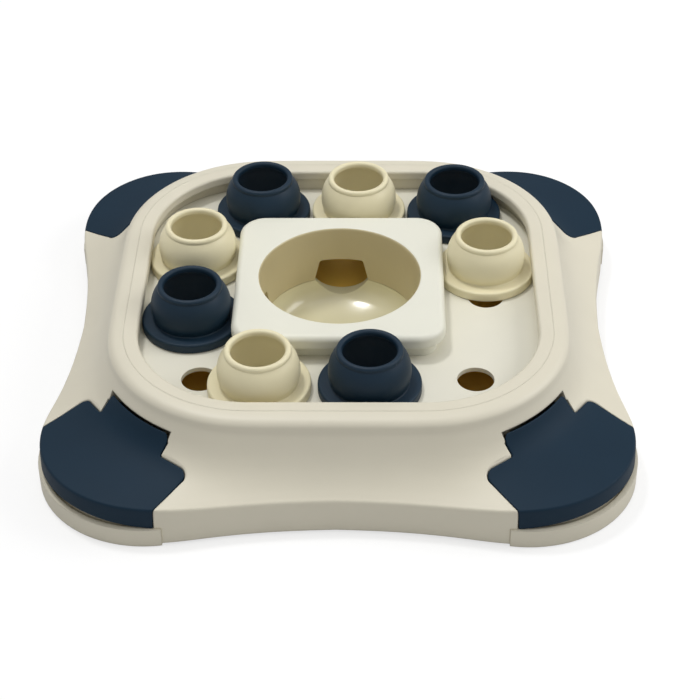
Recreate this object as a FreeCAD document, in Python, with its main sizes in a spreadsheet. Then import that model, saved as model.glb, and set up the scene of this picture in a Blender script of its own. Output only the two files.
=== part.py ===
import FreeCAD
import Part
import Sketcher
import math
import os

# Dog puzzle feeder toy: eight open sliders run in a square track round a bowl, and drop treats
# through holes in the track floor onto a sloping funnel that leads to the bowl's dish.
# Four corner lids flip up over treat pockets. Millimetres, +Z up, origin on the ground
# under the middle of the object, front towards -Y.

SIZES = {
    # Housing outline at the skirt: four corner lobes joined by hollow side arcs
    "lobe_centre": 93.0,
    "lobe_radius": 57.0,
    "side_half": 138.6,
    # Shoulder round the track
    "shoulder_half": 117.5,
    "shoulder_corner": 74.0,
    "deck_height": 52.0,
    "wall": 2.8,
    "cavity_step": 12.0,
    "flank_foot": 30.1,
    "flank_rise": 16.5,
    "flank_reach": 7.0,
    "ridge_side": 19.0,
    "ridge_corner": 24.0,
    "skirt_lift": 1.6,
    # Retaining ring and its lip
    "lip_half": 102.0,
    "lip_corner": 59.0,
    "ring_half": 109.5,
    "ring_thickness": 5.0,
    "lip_round": 1.6,
    # Track and floor
    "path_half": 77.2,
    "path_corner": 27.0,
    "track_play": 1.0,
    "floor_height": 39.0,
    "floor_thickness": 2.5,
    "hole_radius": 9.4,
    "shelf_width": 5.9,
    "shelf_thickness": 3.0,
    # Sliders
    "flange_radius": 26.0,
    "flange_thickness": 5.0,
    "flange_round": 1.2,
    "slider_radius": 20.8,
    "slider_ball": 17.0,
    "slider_waist_height": 12.2,
    "slider_wall": 2.6,
    "mouth_radius": 13.6,
    "mouth_bead": 1.6,
    "slider_height": 25.6,
    "sliding_gap": 0.3,
    # Island with the bowl
    "brim_half": 54.8,
    "brim_corner": 14.0,
    "brim_top": 54.0,
    "brim_thickness": 8.0,
    "brim_round": 3.4,
    "core_corner": 8.0,
    "bowl_rim_radius": 42.2,
    "bowl_foot_radius": 40.9,
    "bowl_wall": 2.4,
    "bowl_edge_round": 1.2,
    "seam_height": 22.5,
    "window_top_half": 11.8,
    "window_foot_half": 14.8,
    "window_height": 11.8,
    # Treat funnel and dish
    "dish_depth": 17.0,
    "dish_side_radius": 12.0,
    "dish_flat": 4.0,
    "funnel_wall": 2.0,
    "funnel_start": 13.5,
    "funnel_slope": 0.14,
    "funnel_half": 101.0,
    "trough_radius": 16.3,
    # Base tray
    "base_lift": 0.6,
    "tray_lift": 1.2,
    "tray_floor_top": 3.2,
    "ledge_height": 11.0,
    "crease_place": 83.7,
    "rim_inset": 2.8,
    "pocket_wall": 1.8,
    "pocket_height": 19.5,
    # Corner lids
    "lid_radius": 55.5,
    "lid_end_near": 87.7,
    "lobe_tip_reach": 140.7,
    "lobe_tip_side": 39.6,
    "notch_reach": 144.6,
    "notch_side": 22.8,
    "tooth_side": 21.9,
    "lid_seam_step": 4.3,
    "lid_inner_height": 40.4,
    "lid_gap": 0.7,
    "lid_skin": 2.4,
    "lid_side_wall": 2.0,
    "lid_side_depth": 7.0,
    "lid_lift": 0.3,
    "nose_gap": 3.6,
    "lobe_tip_round": 4.0,
    "notch_round": 1.4,
    "tooth_round": 1.5,
    # Lid hinge
    "hinge_reach": 139.0,
    "hinge_height": 31.8,
    "swing_clearance": 0.6,
    "pin_radius": 1.4,
    "pin_length": 3.6,
    "socket_clearance": 0.3,
    "socket_depth": 5.0,
    # Screws and feet
    "screw_near": 52.0,
    "screw_far": 124.0,
    "boss_radius": 4.2,
    "cup_radius": 5.6,
    "cup_height": 9.2,
    "screw_head_radius": 3.0,
    "screw_head_height": 2.2,
    "screw_radius": 1.4,
    "screw_clearance": 0.1,
    "island_screw_place": 40.0,
    "foot_place": 112.0,
    "foot_radius": 9.0,
    "foot_height": 1.6,
}


class Size:
    """A number from the sheet together with the expression that gives it."""

    def __init__(self, value, text):
        self.value = value
        self.text = text

    def join(self, other, sign):
        if isinstance(other, Size):
            return other.value, f"({self.text} {sign} {other.text})"
        return other, f"({self.text} {sign} {other})"

    def __add__(self, other):
        value, text = self.join(other, "+")
        return Size(self.value + value, text)

    def __sub__(self, other):
        value, text = self.join(other, "-")
        return Size(self.value - value, text)

    def __mul__(self, other):
        value, text = self.join(other, "*")
        return Size(self.value * value, text)

    def __truediv__(self, other):
        value, text = self.join(other, "/")
        return Size(self.value / value, text)


doc = FreeCAD.newDocument("PuzzleFeeder")
sheet = doc.addObject("Spreadsheet::Sheet", "Sizes")
for row, (name, number) in enumerate(SIZES.items(), 1):
    sheet.set(f"A{row}", name)
    sheet.set(f"B{row}", str(number))
    sheet.setAlias(f"B{row}", name)
doc.recompute()


def size(name):
    return Size(float(sheet.get(name)), f"Sizes.{name}")


def number(name):
    return float(sheet.get(name))


def point(x, y, z=0.0):
    return FreeCAD.Vector(x, y, z)


UP = point(0, 0, 1)
PIECES = []


def keep(feature, label):
    """Register a finished sub-part under its own label."""
    feature.Label = label
    PIECES.append(feature)
    return feature


def keep_shape(label, shape, turn=0):
    """Register a sub-part whose form comes from surface functions, turned about the middle."""
    feature = doc.addObject("Part::Feature", label)
    feature.Shape = shape
    feature.Placement = FreeCAD.Placement(point(0, 0, 0), FreeCAD.Rotation(UP, turn))
    return keep(feature, label)


# Sketch helpers

def new_body(label, place=point(0, 0, 0)):
    body = doc.addObject("PartDesign::Body", label)
    body.Placement = FreeCAD.Placement(place, FreeCAD.Rotation())
    return keep(body, label)


def new_sketch(body, name, plane, lift=None):
    sketch = body.newObject("Sketcher::SketchObject", name)
    support = [item for item in body.Origin.OriginFeatures if item.Role == plane][0]
    sketch.AttachmentSupport = [(support, "")]
    sketch.MapMode = "FlatFace"
    if lift is not None:
        sketch.setExpression(".AttachmentOffset.Base.z", lift.text)
    return sketch


def pin_point(sketch, index, position, x, y):
    """Fix one end of an edge at (x, y), each bound to the sheet."""
    for kind, axis, amount in (("DistanceX", -2, x), ("DistanceY", -1, y)):
        if isinstance(amount, Size):
            made = sketch.addConstraint(Sketcher.Constraint(kind, -1, 1, index, position, amount.value))
            sketch.setExpression(f"Constraints[{made}]", amount.text)
        else:
            sketch.addConstraint(Sketcher.Constraint("PointOnObject", index, position, axis))


def plain(amount):
    return amount.value if isinstance(amount, Size) else 0.0


def draw_profile(sketch, corners):
    """Closed loop of corners (x, y, arc); arc is None for a straight edge to the next corner,
    or (centre x, centre y, radius, anticlockwise)."""
    count = len(corners)
    edges = []
    for step, (x, y, arc) in enumerate(corners):
        next_x, next_y, _ = corners[(step + 1) % count]
        start = point(plain(x), plain(y))
        end = point(plain(next_x), plain(next_y))
        if arc is None:
            index = sketch.addGeometry(Part.LineSegment(start, end))
            edges.append((index, 1, 2))
            continue
        centre_x, centre_y, radius, anticlockwise = arc
        middle = point(plain(centre_x), plain(centre_y))
        first = math.atan2(start.y - middle.y, start.x - middle.x)
        last = math.atan2(end.y - middle.y, end.x - middle.x)
        circle = Part.Circle(middle, UP, radius.value)
        if anticlockwise:
            index = sketch.addGeometry(Part.ArcOfCircle(circle, first, last))
            edges.append((index, 1, 2))
        else:
            index = sketch.addGeometry(Part.ArcOfCircle(circle, last, first))
            edges.append((index, 2, 1))
        made = sketch.addConstraint(Sketcher.Constraint("Radius", index, radius.value))
        sketch.setExpression(f"Constraints[{made}]", radius.text)
    for step in range(count):
        index, start_end, stop_end = edges[step]
        next_index, next_start, _ = edges[(step + 1) % count]
        sketch.addConstraint(Sketcher.Constraint("Coincident", index, stop_end, next_index, next_start))
        pin_point(sketch, index, start_end, corners[step][0], corners[step][1])


def negative(amount):
    return Size(-amount.value, f"(-{amount.text})")


def draw_rounded_square(sketch, half, corner):
    turn = half - corner
    minus_half, minus_turn = negative(half), negative(turn)
    draw_profile(sketch, [
        (minus_turn, minus_half, None),
        (turn, minus_half, (turn, minus_turn, corner, True)),
        (half, minus_turn, None),
        (half, turn, (turn, turn, corner, True)),
        (turn, half, None),
        (minus_turn, half, (minus_turn, turn, corner, True)),
        (minus_half, turn, None),
        (minus_half, minus_turn, (minus_turn, minus_turn, corner, True)),
    ])


def draw_circle(sketch, radius, x=None, y=None):
    centre = point(plain(x), plain(y))
    index = sketch.addGeometry(Part.Circle(centre, UP, radius.value))
    made = sketch.addConstraint(Sketcher.Constraint("Radius", index, radius.value))
    sketch.setExpression(f"Constraints[{made}]", radius.text)
    pin_point(sketch, index, 3, x, y)


def pad(body, name, sketch, length):
    feature = body.newObject("PartDesign::Pad", name)
    feature.Profile = sketch
    feature.setExpression("Length", length.text)
    doc.recompute()
    return feature


def pocket(body, name, sketch, both_ways=False):
    """Cut the sketch right through the solid."""
    before = body.Shape.Volume
    feature = body.newObject("PartDesign::Pocket", name)
    feature.Profile = sketch
    feature.Type = "ThroughAll"
    feature.Midplane = both_ways
    doc.recompute()
    if body.Shape.Volume > before - 1.0:
        feature.Reversed = True
        doc.recompute()
    if body.Shape.Volume > before - 1.0:
        raise RuntimeError(f"{name} cuts nothing")
    return feature


def revolve(body, name, sketch):
    feature = body.newObject("PartDesign::Revolution", name)
    feature.Profile = sketch
    feature.ReferenceAxis = (sketch, ["V_Axis"])
    feature.Angle = 360.0
    doc.recompute()
    return feature


def round_edges(body, name, radius, wanted):
    """Fillet every edge of the tip for which wanted(edge) holds."""
    base = body.Tip
    names = [f"Edge{i}" for i, edge in enumerate(base.Shape.Edges, 1) if wanted(edge)]
    feature = body.newObject("PartDesign::Fillet", name)
    feature.Base = (base, names)
    feature.setExpression("Radius", radius.text)
    doc.recompute()
    return feature


def repeat_round(body, name, features, count):
    feature = body.newObject("PartDesign::PolarPattern", name)
    feature.Originals = features
    axis = [item for item in body.Origin.OriginFeatures if item.Role == "Z_Axis"][0]
    feature.Axis = (axis, [""])
    feature.Angle = 360.0
    feature.Occurrences = count
    body.Tip = feature
    doc.recompute()
    return feature


def upright_at(half):
    """Test for the upright edges at the corners of a square of this half width."""
    def test(edge):
        box = edge.BoundBox
        thin = box.XLength < 0.01 and box.YLength < 0.01
        return thin and abs(abs(box.XMin) - half) < 0.01 and abs(abs(box.YMin) - half) < 0.01
    return test


def level_at(height, reach):
    """Test for the edges at one height whose bounding box reaches past a half width."""
    def test(edge):
        box = edge.BoundBox
        level = abs(box.ZMin - height) < 0.01 and abs(box.ZMax - height) < 0.01
        return level and max(abs(box.XMin), box.XMax, abs(box.YMin), box.YMax) > reach
    return test


# Plain shape helpers

def rounded_block(half, corner, low, high):
    """Square prism with rounded corners between two heights."""
    block = Part.makeBox(2 * half, 2 * half, high - low, point(-half, -half, low))
    uprights = [edge for edge in block.Edges if upright_at(half)(edge)]
    return block.makeFillet(corner, uprights)


def four_ways(shape):
    """The shape and its three quarter turns about the middle."""
    return [shape.rotated(point(0, 0, 0), UP, 90 * turn) for turn in range(4)]


def extrude_face(wire, low, high):
    return Part.Face(wire).translated(point(0, 0, low)).extrude(point(0, 0, high - low))


# Derived places

FLOOR = number("floor_height")
CORE_HALF = number("path_half") - number("flange_radius") - number("track_play")
TRACK_HALF = number("path_half") + number("flange_radius") + number("track_play")
TRACK_CORNER = number("path_corner") + number("flange_radius") + number("track_play")
PATH_TURN = number("path_half") - number("path_corner")
HOLE_CORNER = PATH_TURN + number("path_corner") * math.sqrt(0.5)
PLATE_LOW = FLOOR - number("floor_thickness")
SHELF_LOW = PLATE_LOW - number("shelf_thickness")
RING_LOW = number("deck_height") - number("ring_thickness")
RING_CORNER = number("lip_corner") + number("ring_half") - number("lip_half")


# Moulded housing form: rays leave the shoulder outline at right angles and end on the skirt

SHOULDER_TURN = number("shoulder_half") - number("shoulder_corner")


def side_arc_radius(half, lobe):
    """Radius of the hollow side arc that touches two corner lobes of this radius."""
    centre = number("lobe_centre")
    step = half - centre
    return (centre**2 + step**2 - lobe**2) / (2 * (lobe - step))


def skirt_distance(angle):
    """Distance from the shoulder corner's centre to the skirt along a ray, 0 to 90 degrees."""
    half, lobe, centre = number("side_half"), number("lobe_radius"), number("lobe_centre")
    along, across = math.cos(angle), math.sin(angle)
    if angle < math.pi / 4:
        along, across = across, along
    arc = side_arc_radius(half, lobe)
    spread = math.atan2(centre, half + arc - centre)
    touch = centre - lobe * math.sin(spread)
    offset = SHOULDER_TURN - centre
    shift = offset * (along + across)
    reach = -shift + math.sqrt(shift**2 - 2 * offset**2 + lobe**2)
    if SHOULDER_TURN + reach * along >= touch:
        return reach
    back, up = -SHOULDER_TURN, half + arc - SHOULDER_TURN
    shift = back * along + up * across
    return shift - math.sqrt(shift**2 - back**2 - up**2 + arc**2)


def side_distance(x):
    """Distance of the hollow side arc from the middle plane, at x along the side."""
    arc = side_arc_radius(number("side_half"), number("lobe_radius"))
    return number("side_half") + arc - math.sqrt(arc**2 - x**2)


FLANK_STEPS = (0.0, 0.06, 0.14, 0.26, 0.45, 0.72, 1.0)


def flank_profile(span, low):
    """Points (out from the shoulder, height) down one ray: shoulder, concave flank, ridge, skirt.

    The flank falls along a straight line, with an extra rise near the shoulder that dies away
    as a stretched exponential of the distance."""
    side_span = number("side_half") - number("shoulder_half")
    corner_span = skirt_distance(math.pi / 4) - number("shoulder_corner")
    share = min(max((span - side_span) / (corner_span - side_span), 0.0), 1.0)
    share = share**2 * (3 - 2 * share)
    ridge = number("ridge_side") + (number("ridge_corner") - number("ridge_side")) * share
    deck, foot = number("deck_height"), number("flank_foot")

    def extra(out):
        return number("flank_rise") * math.exp(-(max(out - 0.6, 0.0) / number("flank_reach")) ** 1.3)

    def flank(out):
        return foot + (ridge - extra(span) - foot) * out / span + extra(out)

    points = [(-10.0, deck), (-5.0, deck - 0.25), (-2.0, deck - 0.9), (0.2, deck - 2.6), (0.9, deck - 4.8)]
    start, stop = 1.5, span - 2.2
    for step in FLANK_STEPS:
        out = start + (stop - start) * step
        points.append((out, flank(out)))
    points += [(span - 0.3, flank(span - 0.6)), (span, ridge - 2.6), (span + 0.3, ridge / 2), (span + 0.5, low)]
    return points


def housing_net(low, shift_in=0.0, shift_down=0.0):
    """Rows of control points over one corner, from the middle of one side to that of the next."""
    turn, corner, half = SHOULDER_TURN, number("shoulder_corner"), number("shoulder_half")
    net = []
    side_places = [turn * step / 2 for step in range(2)]
    for x in side_places:
        rows = flank_profile(side_distance(x) - half, low)
        net.append([point(x, half + out - shift_in, z - shift_down) for out, z in rows])
    for step in range(9):
        angle = math.radians(90 - 11.25 * step)
        rows = flank_profile(skirt_distance(angle) - corner, low)
        column = []
        for out, z in rows:
            distance = corner + out - shift_in
            column.append(point(turn + distance * math.cos(angle), turn + distance * math.sin(angle), z - shift_down))
        net.append(column)
    for x in reversed(side_places):
        rows = flank_profile(side_distance(x) - half, low)
        net.append([point(half + out - shift_in, x, z - shift_down) for out, z in rows])
    return net


def clamped(count, degree):
    """Knots and multiplicities of a clamped spline with this many control points."""
    spans = count - degree
    knots = [step / spans for step in range(spans + 1)]
    return knots, [degree + 1] + [1] * (spans - 1) + [degree + 1]


def housing_solid(low, shift_in=0.0, shift_down=0.0):
    """Closed form bounded by the four swept corner surfaces and two level faces."""
    net = housing_net(low + shift_down, shift_in, shift_down)
    round_knots, round_counts = clamped(len(net), 3)
    down_knots, down_counts = clamped(len(net[0]), 2)
    surface = Part.BSplineSurface()
    surface.buildFromPolesMultsKnots(
        net, round_counts, down_counts, round_knots, down_knots, False, False, 3, 2)
    faces = four_ways(surface.toShape())
    skin = Part.makeShell(faces)
    skin.sewShape()
    ends = []
    for height in (number("deck_height") - shift_down, low):
        edges = [edge for edge in skin.Edges
                 if abs(edge.BoundBox.ZMin - height) < 0.001 and abs(edge.BoundBox.ZMax - height) < 0.001]
        ends.append(Part.Face(Part.Wire(Part.__sortEdges__(edges))))
    closed = Part.makeShell(skin.Faces + ends)
    closed.sewShape()
    solid = Part.makeSolid(closed)
    if solid.Volume < 0:
        solid.reverse()
    return solid


def skirt_wire(inset):
    """Closed outline of the skirt, moved inwards by inset."""
    centre, lobe, half = number("lobe_centre"), number("lobe_radius") - inset, number("side_half") - inset
    arc = side_arc_radius(half, lobe)
    spread = math.atan2(centre, half + arc - centre)
    edges = []
    first = point(centre - lobe * math.sin(spread), centre + lobe * math.cos(spread))
    middle = point(centre + lobe * math.sqrt(0.5), centre + lobe * math.sqrt(0.5))
    last = point(first.y, first.x)
    corner = Part.Arc(first, middle, last).toShape()
    side = Part.Arc(last, point(half, 0), point(last.x, -last.y)).toShape()
    for turn in range(4):
        edges.append(corner.rotated(point(0, 0, 0), UP, -90 * turn))
        edges.append(side.rotated(point(0, 0, 0), UP, -90 * turn))
    return Part.Wire(Part.__sortEdges__(edges))


# Corner lid outline

def along_hinge(reach, across, height=0.0):
    """Point given by its distance out along the diagonal, across it, and its height."""
    root = math.sqrt(0.5)
    return point((reach - across) * root, (reach + across) * root, height)


def flip(place):
    """Mirror image across the diagonal."""
    return point(place.y, place.x)


def corner_arc(before, corner, after, radius):
    """Start, middle and end of the arc that rounds a corner between two straight runs."""
    to_before = (before - corner).normalize()
    to_after = (after - corner).normalize()
    half_angle = to_before.getAngle(to_after) / 2
    reach = radius / math.tan(half_angle)
    middle_way = (to_before + to_after).normalize()
    middle = corner + middle_way * (radius / math.sin(half_angle) - radius)
    return corner + to_before * reach, middle, corner + to_after * reach


SMALL_ROUND = 0.3
TURN_REACH = SHOULDER_TURN * math.sqrt(2)
LID_SEAM_RADIUS = number("shoulder_corner") + number("lid_seam_step")
TOOTH_REACH = TURN_REACH + math.sqrt(LID_SEAM_RADIUS**2 - number("tooth_side") ** 2)
LID_END_FAR = number("lobe_centre") + math.sqrt(
    number("lid_radius") ** 2 - (number("lobe_centre") - number("lid_end_near")) ** 2)


def moved_run(start, stop, inset):
    """Straight run moved to its left by inset, as a point on it and its direction."""
    way = (stop - start).normalize()
    return start + point(-way.y, way.x) * inset, way


def meet_run(run, other):
    """Where two straight runs meet."""
    (start, way), (other_start, other_way) = run, other
    between = other_start - start
    turn = way.x * other_way.y - way.y * other_way.x
    return start + way * ((between.x * other_way.y - between.y * other_way.x) / turn)


def meet_circle(run, centre, radius, side):
    """Where a straight run crosses a circle: side is 1 for the farther crossing and -1 for the nearer."""
    start, way = run
    between = start - centre
    half = way.dot(between)
    return start + way * (side * math.sqrt(half**2 - between.dot(between) + radius**2) - half)


def lid_wire(inset=0.0):
    """Outline of one lid in the +X +Y corner, moved inwards by inset: outer arc, lobe tips,
    notches, teeth and the inner arc that follows the shoulder."""
    lobe_centre = point(number("lobe_centre"), number("lobe_centre"))
    turn_centre = point(SHOULDER_TURN, SHOULDER_TURN)
    outer_radius, seam_radius = number("lid_radius") - inset, LID_SEAM_RADIUS + inset
    lid_end = point(number("lid_end_near"), LID_END_FAR)
    lobe = along_hinge(number("lobe_tip_reach"), number("lobe_tip_side"))
    notch = along_hinge(number("notch_reach"), number("notch_side"))
    tooth = along_hinge(TOOTH_REACH, number("tooth_side"))
    first = moved_run(lid_end, lobe, inset)
    second = moved_run(lobe, notch, inset)
    third = moved_run(notch, tooth, inset)
    lid_end = meet_circle(first, lobe_centre, outer_radius, -1)
    lobe = meet_run(first, second)
    notch = meet_run(second, third)
    tooth = meet_circle(third, turn_centre, seam_radius, -1)
    outer = along_hinge(number("lobe_centre") * math.sqrt(2) + outer_radius, 0)
    inner = along_hinge(TURN_REACH + seam_radius, 0)
    spoke = tooth - turn_centre
    inward = point(spoke.y, -spoke.x)
    lobe_arc = corner_arc(lid_end, lobe, notch, max(number("lobe_tip_round") - inset, SMALL_ROUND))
    notch_arc = corner_arc(lobe, notch, tooth, max(number("notch_round") + inset, SMALL_ROUND))
    tooth_arc = list(corner_arc(notch, tooth, tooth + inward, max(number("tooth_round") - inset, SMALL_ROUND)))
    seam_step = (tooth_arc[2] - tooth).Length / seam_radius
    lean = math.atan2(spoke.y, spoke.x) - seam_step
    tooth_arc[2] = turn_centre + point(math.cos(lean), math.sin(lean)) * seam_radius
    lines = [(lid_end, lobe_arc[0]), (lobe_arc[2], notch_arc[0]), (notch_arc[2], tooth_arc[0])]
    edges = []
    for start, stop in lines:
        edges.append(Part.makeLine(start, stop))
        edges.append(Part.makeLine(flip(start), flip(stop)))
    for start, middle, stop in (lobe_arc, notch_arc, tooth_arc):
        edges.append(Part.Arc(start, middle, stop).toShape())
        edges.append(Part.Arc(flip(start), flip(middle), flip(stop)).toShape())
    edges.append(Part.Arc(lid_end, outer, flip(lid_end)).toShape())
    edges.append(Part.Arc(tooth_arc[2], inner, flip(tooth_arc[2])).toShape())
    return Part.Wire(Part.__sortEdges__(edges))


ACROSS = along_hinge(0, 1)
PIN_START = number("tooth_side") - number("lid_side_wall") / 2
PIN_END = number("notch_side") + number("pin_length")
SOCKET_START = number("notch_side") + number("lid_gap")
SWING = math.hypot(TURN_REACH + LID_SEAM_RADIUS - number("hinge_reach"),
                   number("lid_inner_height") - number("hinge_height")) + number("swing_clearance")


def lid_solid(form):
    """One lid in the +X +Y corner, cut from the housing form so that it lies flush."""
    low = number("ledge_height") + number("lid_lift")
    high = number("deck_height")
    lid = form.common(extrude_face(lid_wire(), low, high))
    hollow = form.translated(point(0, 0, -number("lid_skin")))
    lid = lid.cut(hollow.common(extrude_face(lid_wire(number("lid_side_wall")), 0, high)))
    centre = number("lobe_centre")
    rim = number("lid_radius") - number("lid_side_wall")
    spare = number("lid_radius")
    below = form.translated(point(0, 0, -number("lid_side_depth")))
    keep_ring = Part.makeCylinder(spare + 1, high, point(centre, centre, 0))
    keep_ring = keep_ring.cut(Part.makeCylinder(rim, high, point(centre, centre, 0)))
    corner_half = Part.makeBox(spare * 2, spare * 2, high, point(number("lid_end_near"), number("lid_end_near"), 0))
    lid = lid.cut(below.cut(keep_ring.common(corner_half)))
    half_width = (LID_END_FAR - number("lid_end_near")) * math.sqrt(0.5)
    arch = (half_width**2 + number("nose_gap") ** 2) / (2 * number("nose_gap"))
    tunnel = Part.makeCylinder(arch, 3 * spare, point(0, 0, low + number("nose_gap") - arch), point(1, 1, 0))
    tunnel = tunnel.translated(along_hinge(number("hinge_reach"), 0, 0))
    lid = lid.cut(tunnel)
    for way in (1, -1):
        start = along_hinge(number("hinge_reach"), way * PIN_START, number("hinge_height"))
        lid = lid.fuse(Part.makeCylinder(number("pin_radius"), PIN_END - PIN_START, start, ACROSS * way))
    return lid.removeSplitter()


# Upper body

def upper_body(form):
    deck, low = number("deck_height"), number("skirt_lift")
    wall = number("wall")
    cavity = extrude_face(skirt_wire(wall), low - 1, number("ridge_side") - 1.2 * wall)
    cavity = cavity.fuse([
        extrude_face(skirt_wire(number("cavity_step")), low - 1, number("ridge_side") + 0.5 * wall),
        rounded_block(number("shoulder_half") + 2 * wall, number("shoulder_corner") + 2 * wall, low - 1,
                      number("flank_foot"))])
    body = form.cut(cavity)
    track_wall = rounded_block(number("ring_half") + 2.5, RING_CORNER + 2.5, SHELF_LOW, deck)
    body = body.fuse(track_wall.common(form))
    for place in screw_places():
        boss = Part.makeCylinder(number("boss_radius"), deck, place + point(0, 0, number("cup_height") + 0.3))
        body = body.fuse(boss.common(form))
    sockets = []
    for way in (1, -1):
        start = along_hinge(number("hinge_reach"), way * SOCKET_START, 0)
        block = Part.makeBox(6.4, number("socket_depth"), 7.4, point(-3.4, 0, number("hinge_height") - 3.2))
        if way < 0:
            block = block.translated(point(0, -number("socket_depth"), 0))
        block = block.rotated(point(0, 0, 0), UP, 45).translated(start)
        sockets.append(block.common(form))
    for socket in sockets:
        body = body.fuse(four_ways(socket))
    body = body.cut(rounded_block(number("ring_half"), RING_CORNER, RING_LOW, deck + 1))
    body = body.cut(rounded_block(number("ring_half") + 2.5, RING_CORNER + 2.5, number("flank_foot") - 1, SHELF_LOW))
    body = body.cut(rounded_block(TRACK_HALF, TRACK_CORNER, PLATE_LOW, deck))
    shelf = TRACK_HALF - number("shelf_width")
    body = body.cut(rounded_block(shelf, TRACK_CORNER - number("shelf_width"), SHELF_LOW - 1, deck))
    gap = number("lid_gap")
    lid_hole = extrude_face(lid_wire(-gap), number("ledge_height"), deck)
    near, far = number("lid_end_near") - gap, 2 * number("lobe_centre")
    chord = LID_END_FAR - 5.0
    outside = Part.makePolygon([point(near, chord), point(near, far), point(far, far), point(far, near),
                                point(chord, near), point(near, chord)])
    lid_hole = lid_hole.fuse(extrude_face(outside, number("ledge_height"), deck))
    hinge_reach, hinge_height = number("hinge_reach"), number("hinge_height")
    half_long = number("tooth_side") + gap
    swing_room = Part.makeCylinder(SWING, 2 * half_long, along_hinge(hinge_reach, -half_long, hinge_height), ACROSS)
    side_room = Part.makeCylinder(3 * number("pin_radius"), 2 * SOCKET_START,
                                  along_hinge(hinge_reach, -SOCKET_START, hinge_height), ACROSS)
    swing_room = swing_room.fuse(side_room)
    crease = number("crease_place")
    lobe_room = Part.makeBox(far, far, number("ledge_height") + 5, point(crease, crease, -5))
    cutters = four_ways(lid_hole) + four_ways(swing_room) + four_ways(lobe_room)
    body = body.cut(cutters)
    bores = []
    for way in (1, -1):
        start = along_hinge(number("hinge_reach"), way * (SOCKET_START - 1), number("hinge_height"))
        bore = Part.makeCylinder(number("pin_radius") + number("socket_clearance"),
                                 number("socket_depth"), start, ACROSS * way)
        bores += four_ways(bore)
    for place in screw_places():
        bores.append(Part.makeCylinder(number("screw_radius") + number("screw_clearance"), 12.0,
                                       place + point(0, 0, number("cup_height"))))
    body = body.cut(bores)
    return body.removeSplitter()


def screw_places():
    near, far = number("screw_near"), number("screw_far")
    places = []
    for x, y in ((near, far), (far, near)):
        for flip_x in (1, -1):
            for flip_y in (1, -1):
                places.append(point(flip_x * x, flip_y * y))
    return places


# Base tray

def base_tray():
    lift, floor, ledge = number("base_lift"), number("tray_floor_top"), number("ledge_height")
    crease, reach = number("crease_place"), 2 * number("lobe_centre")
    inner = number("wall") + number("sliding_gap")
    tray = extrude_face(skirt_wire(inner), number("tray_lift"), floor)
    lobe_zone = Part.makeBox(reach, reach, ledge, point(crease, crease, 0))
    inside_zone = Part.makeBox(reach, reach, ledge, point(crease + 2.0, crease + 2.0, 0))
    lobe = extrude_face(skirt_wire(0), lift, ledge).common(lobe_zone)
    lobe = lobe.cut(extrude_face(skirt_wire(number("rim_inset")), floor, ledge + 1).common(inside_zone))
    inset = number("lid_side_wall") + 0.8
    pocket_room = extrude_face(lid_wire(inset), floor - 0.5, number("pocket_height"))
    pocket_walls = pocket_room.cut(extrude_face(lid_wire(inset + number("pocket_wall")), floor, number("pocket_height")))
    tray = tray.fuse(four_ways(lobe) + four_ways(pocket_walls))
    inside_pocket = extrude_face(lid_wire(inset + number("pocket_wall")), floor, number("pocket_height"))
    tray = tray.cut(four_ways(inside_pocket))
    support_half = number("funnel_half") - 3.0
    bowl_reach = number("bowl_foot_radius") + number("bowl_wall")
    under_funnel = number("funnel_start") - number("funnel_wall") - number("sliding_gap")
    under_funnel += (support_half - 2.0 - bowl_reach) * number("funnel_slope")
    ring = rounded_block(support_half, 48.0, floor - 0.5, under_funnel)
    ring = ring.cut(rounded_block(support_half - 2.0, 46.0, floor - 1.0, under_funnel))
    tray = tray.fuse(ring)
    cups = []
    recesses = []
    for place in screw_places():
        cups.append(Part.makeCylinder(number("cup_radius"), number("cup_height") - number("tray_lift"),
                                      place + point(0, 0, number("tray_lift"))))
        head_room = number("cup_height") - 2.7
        recesses.append(Part.makeCylinder(number("screw_head_radius") + 0.6, head_room, place))
        recesses.append(Part.makeCylinder(number("screw_radius") + 0.3, 2 * number("cup_height"), place))
    tray = tray.fuse(cups)
    foot = number("foot_place")
    foot_recess = Part.makeCylinder(number("foot_radius") + 0.1, number("foot_height"), point(foot, foot, 0))
    tray = tray.cut(recesses + four_ways(foot_recess))
    return tray.removeSplitter()


# Treat funnel with the dish

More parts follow.
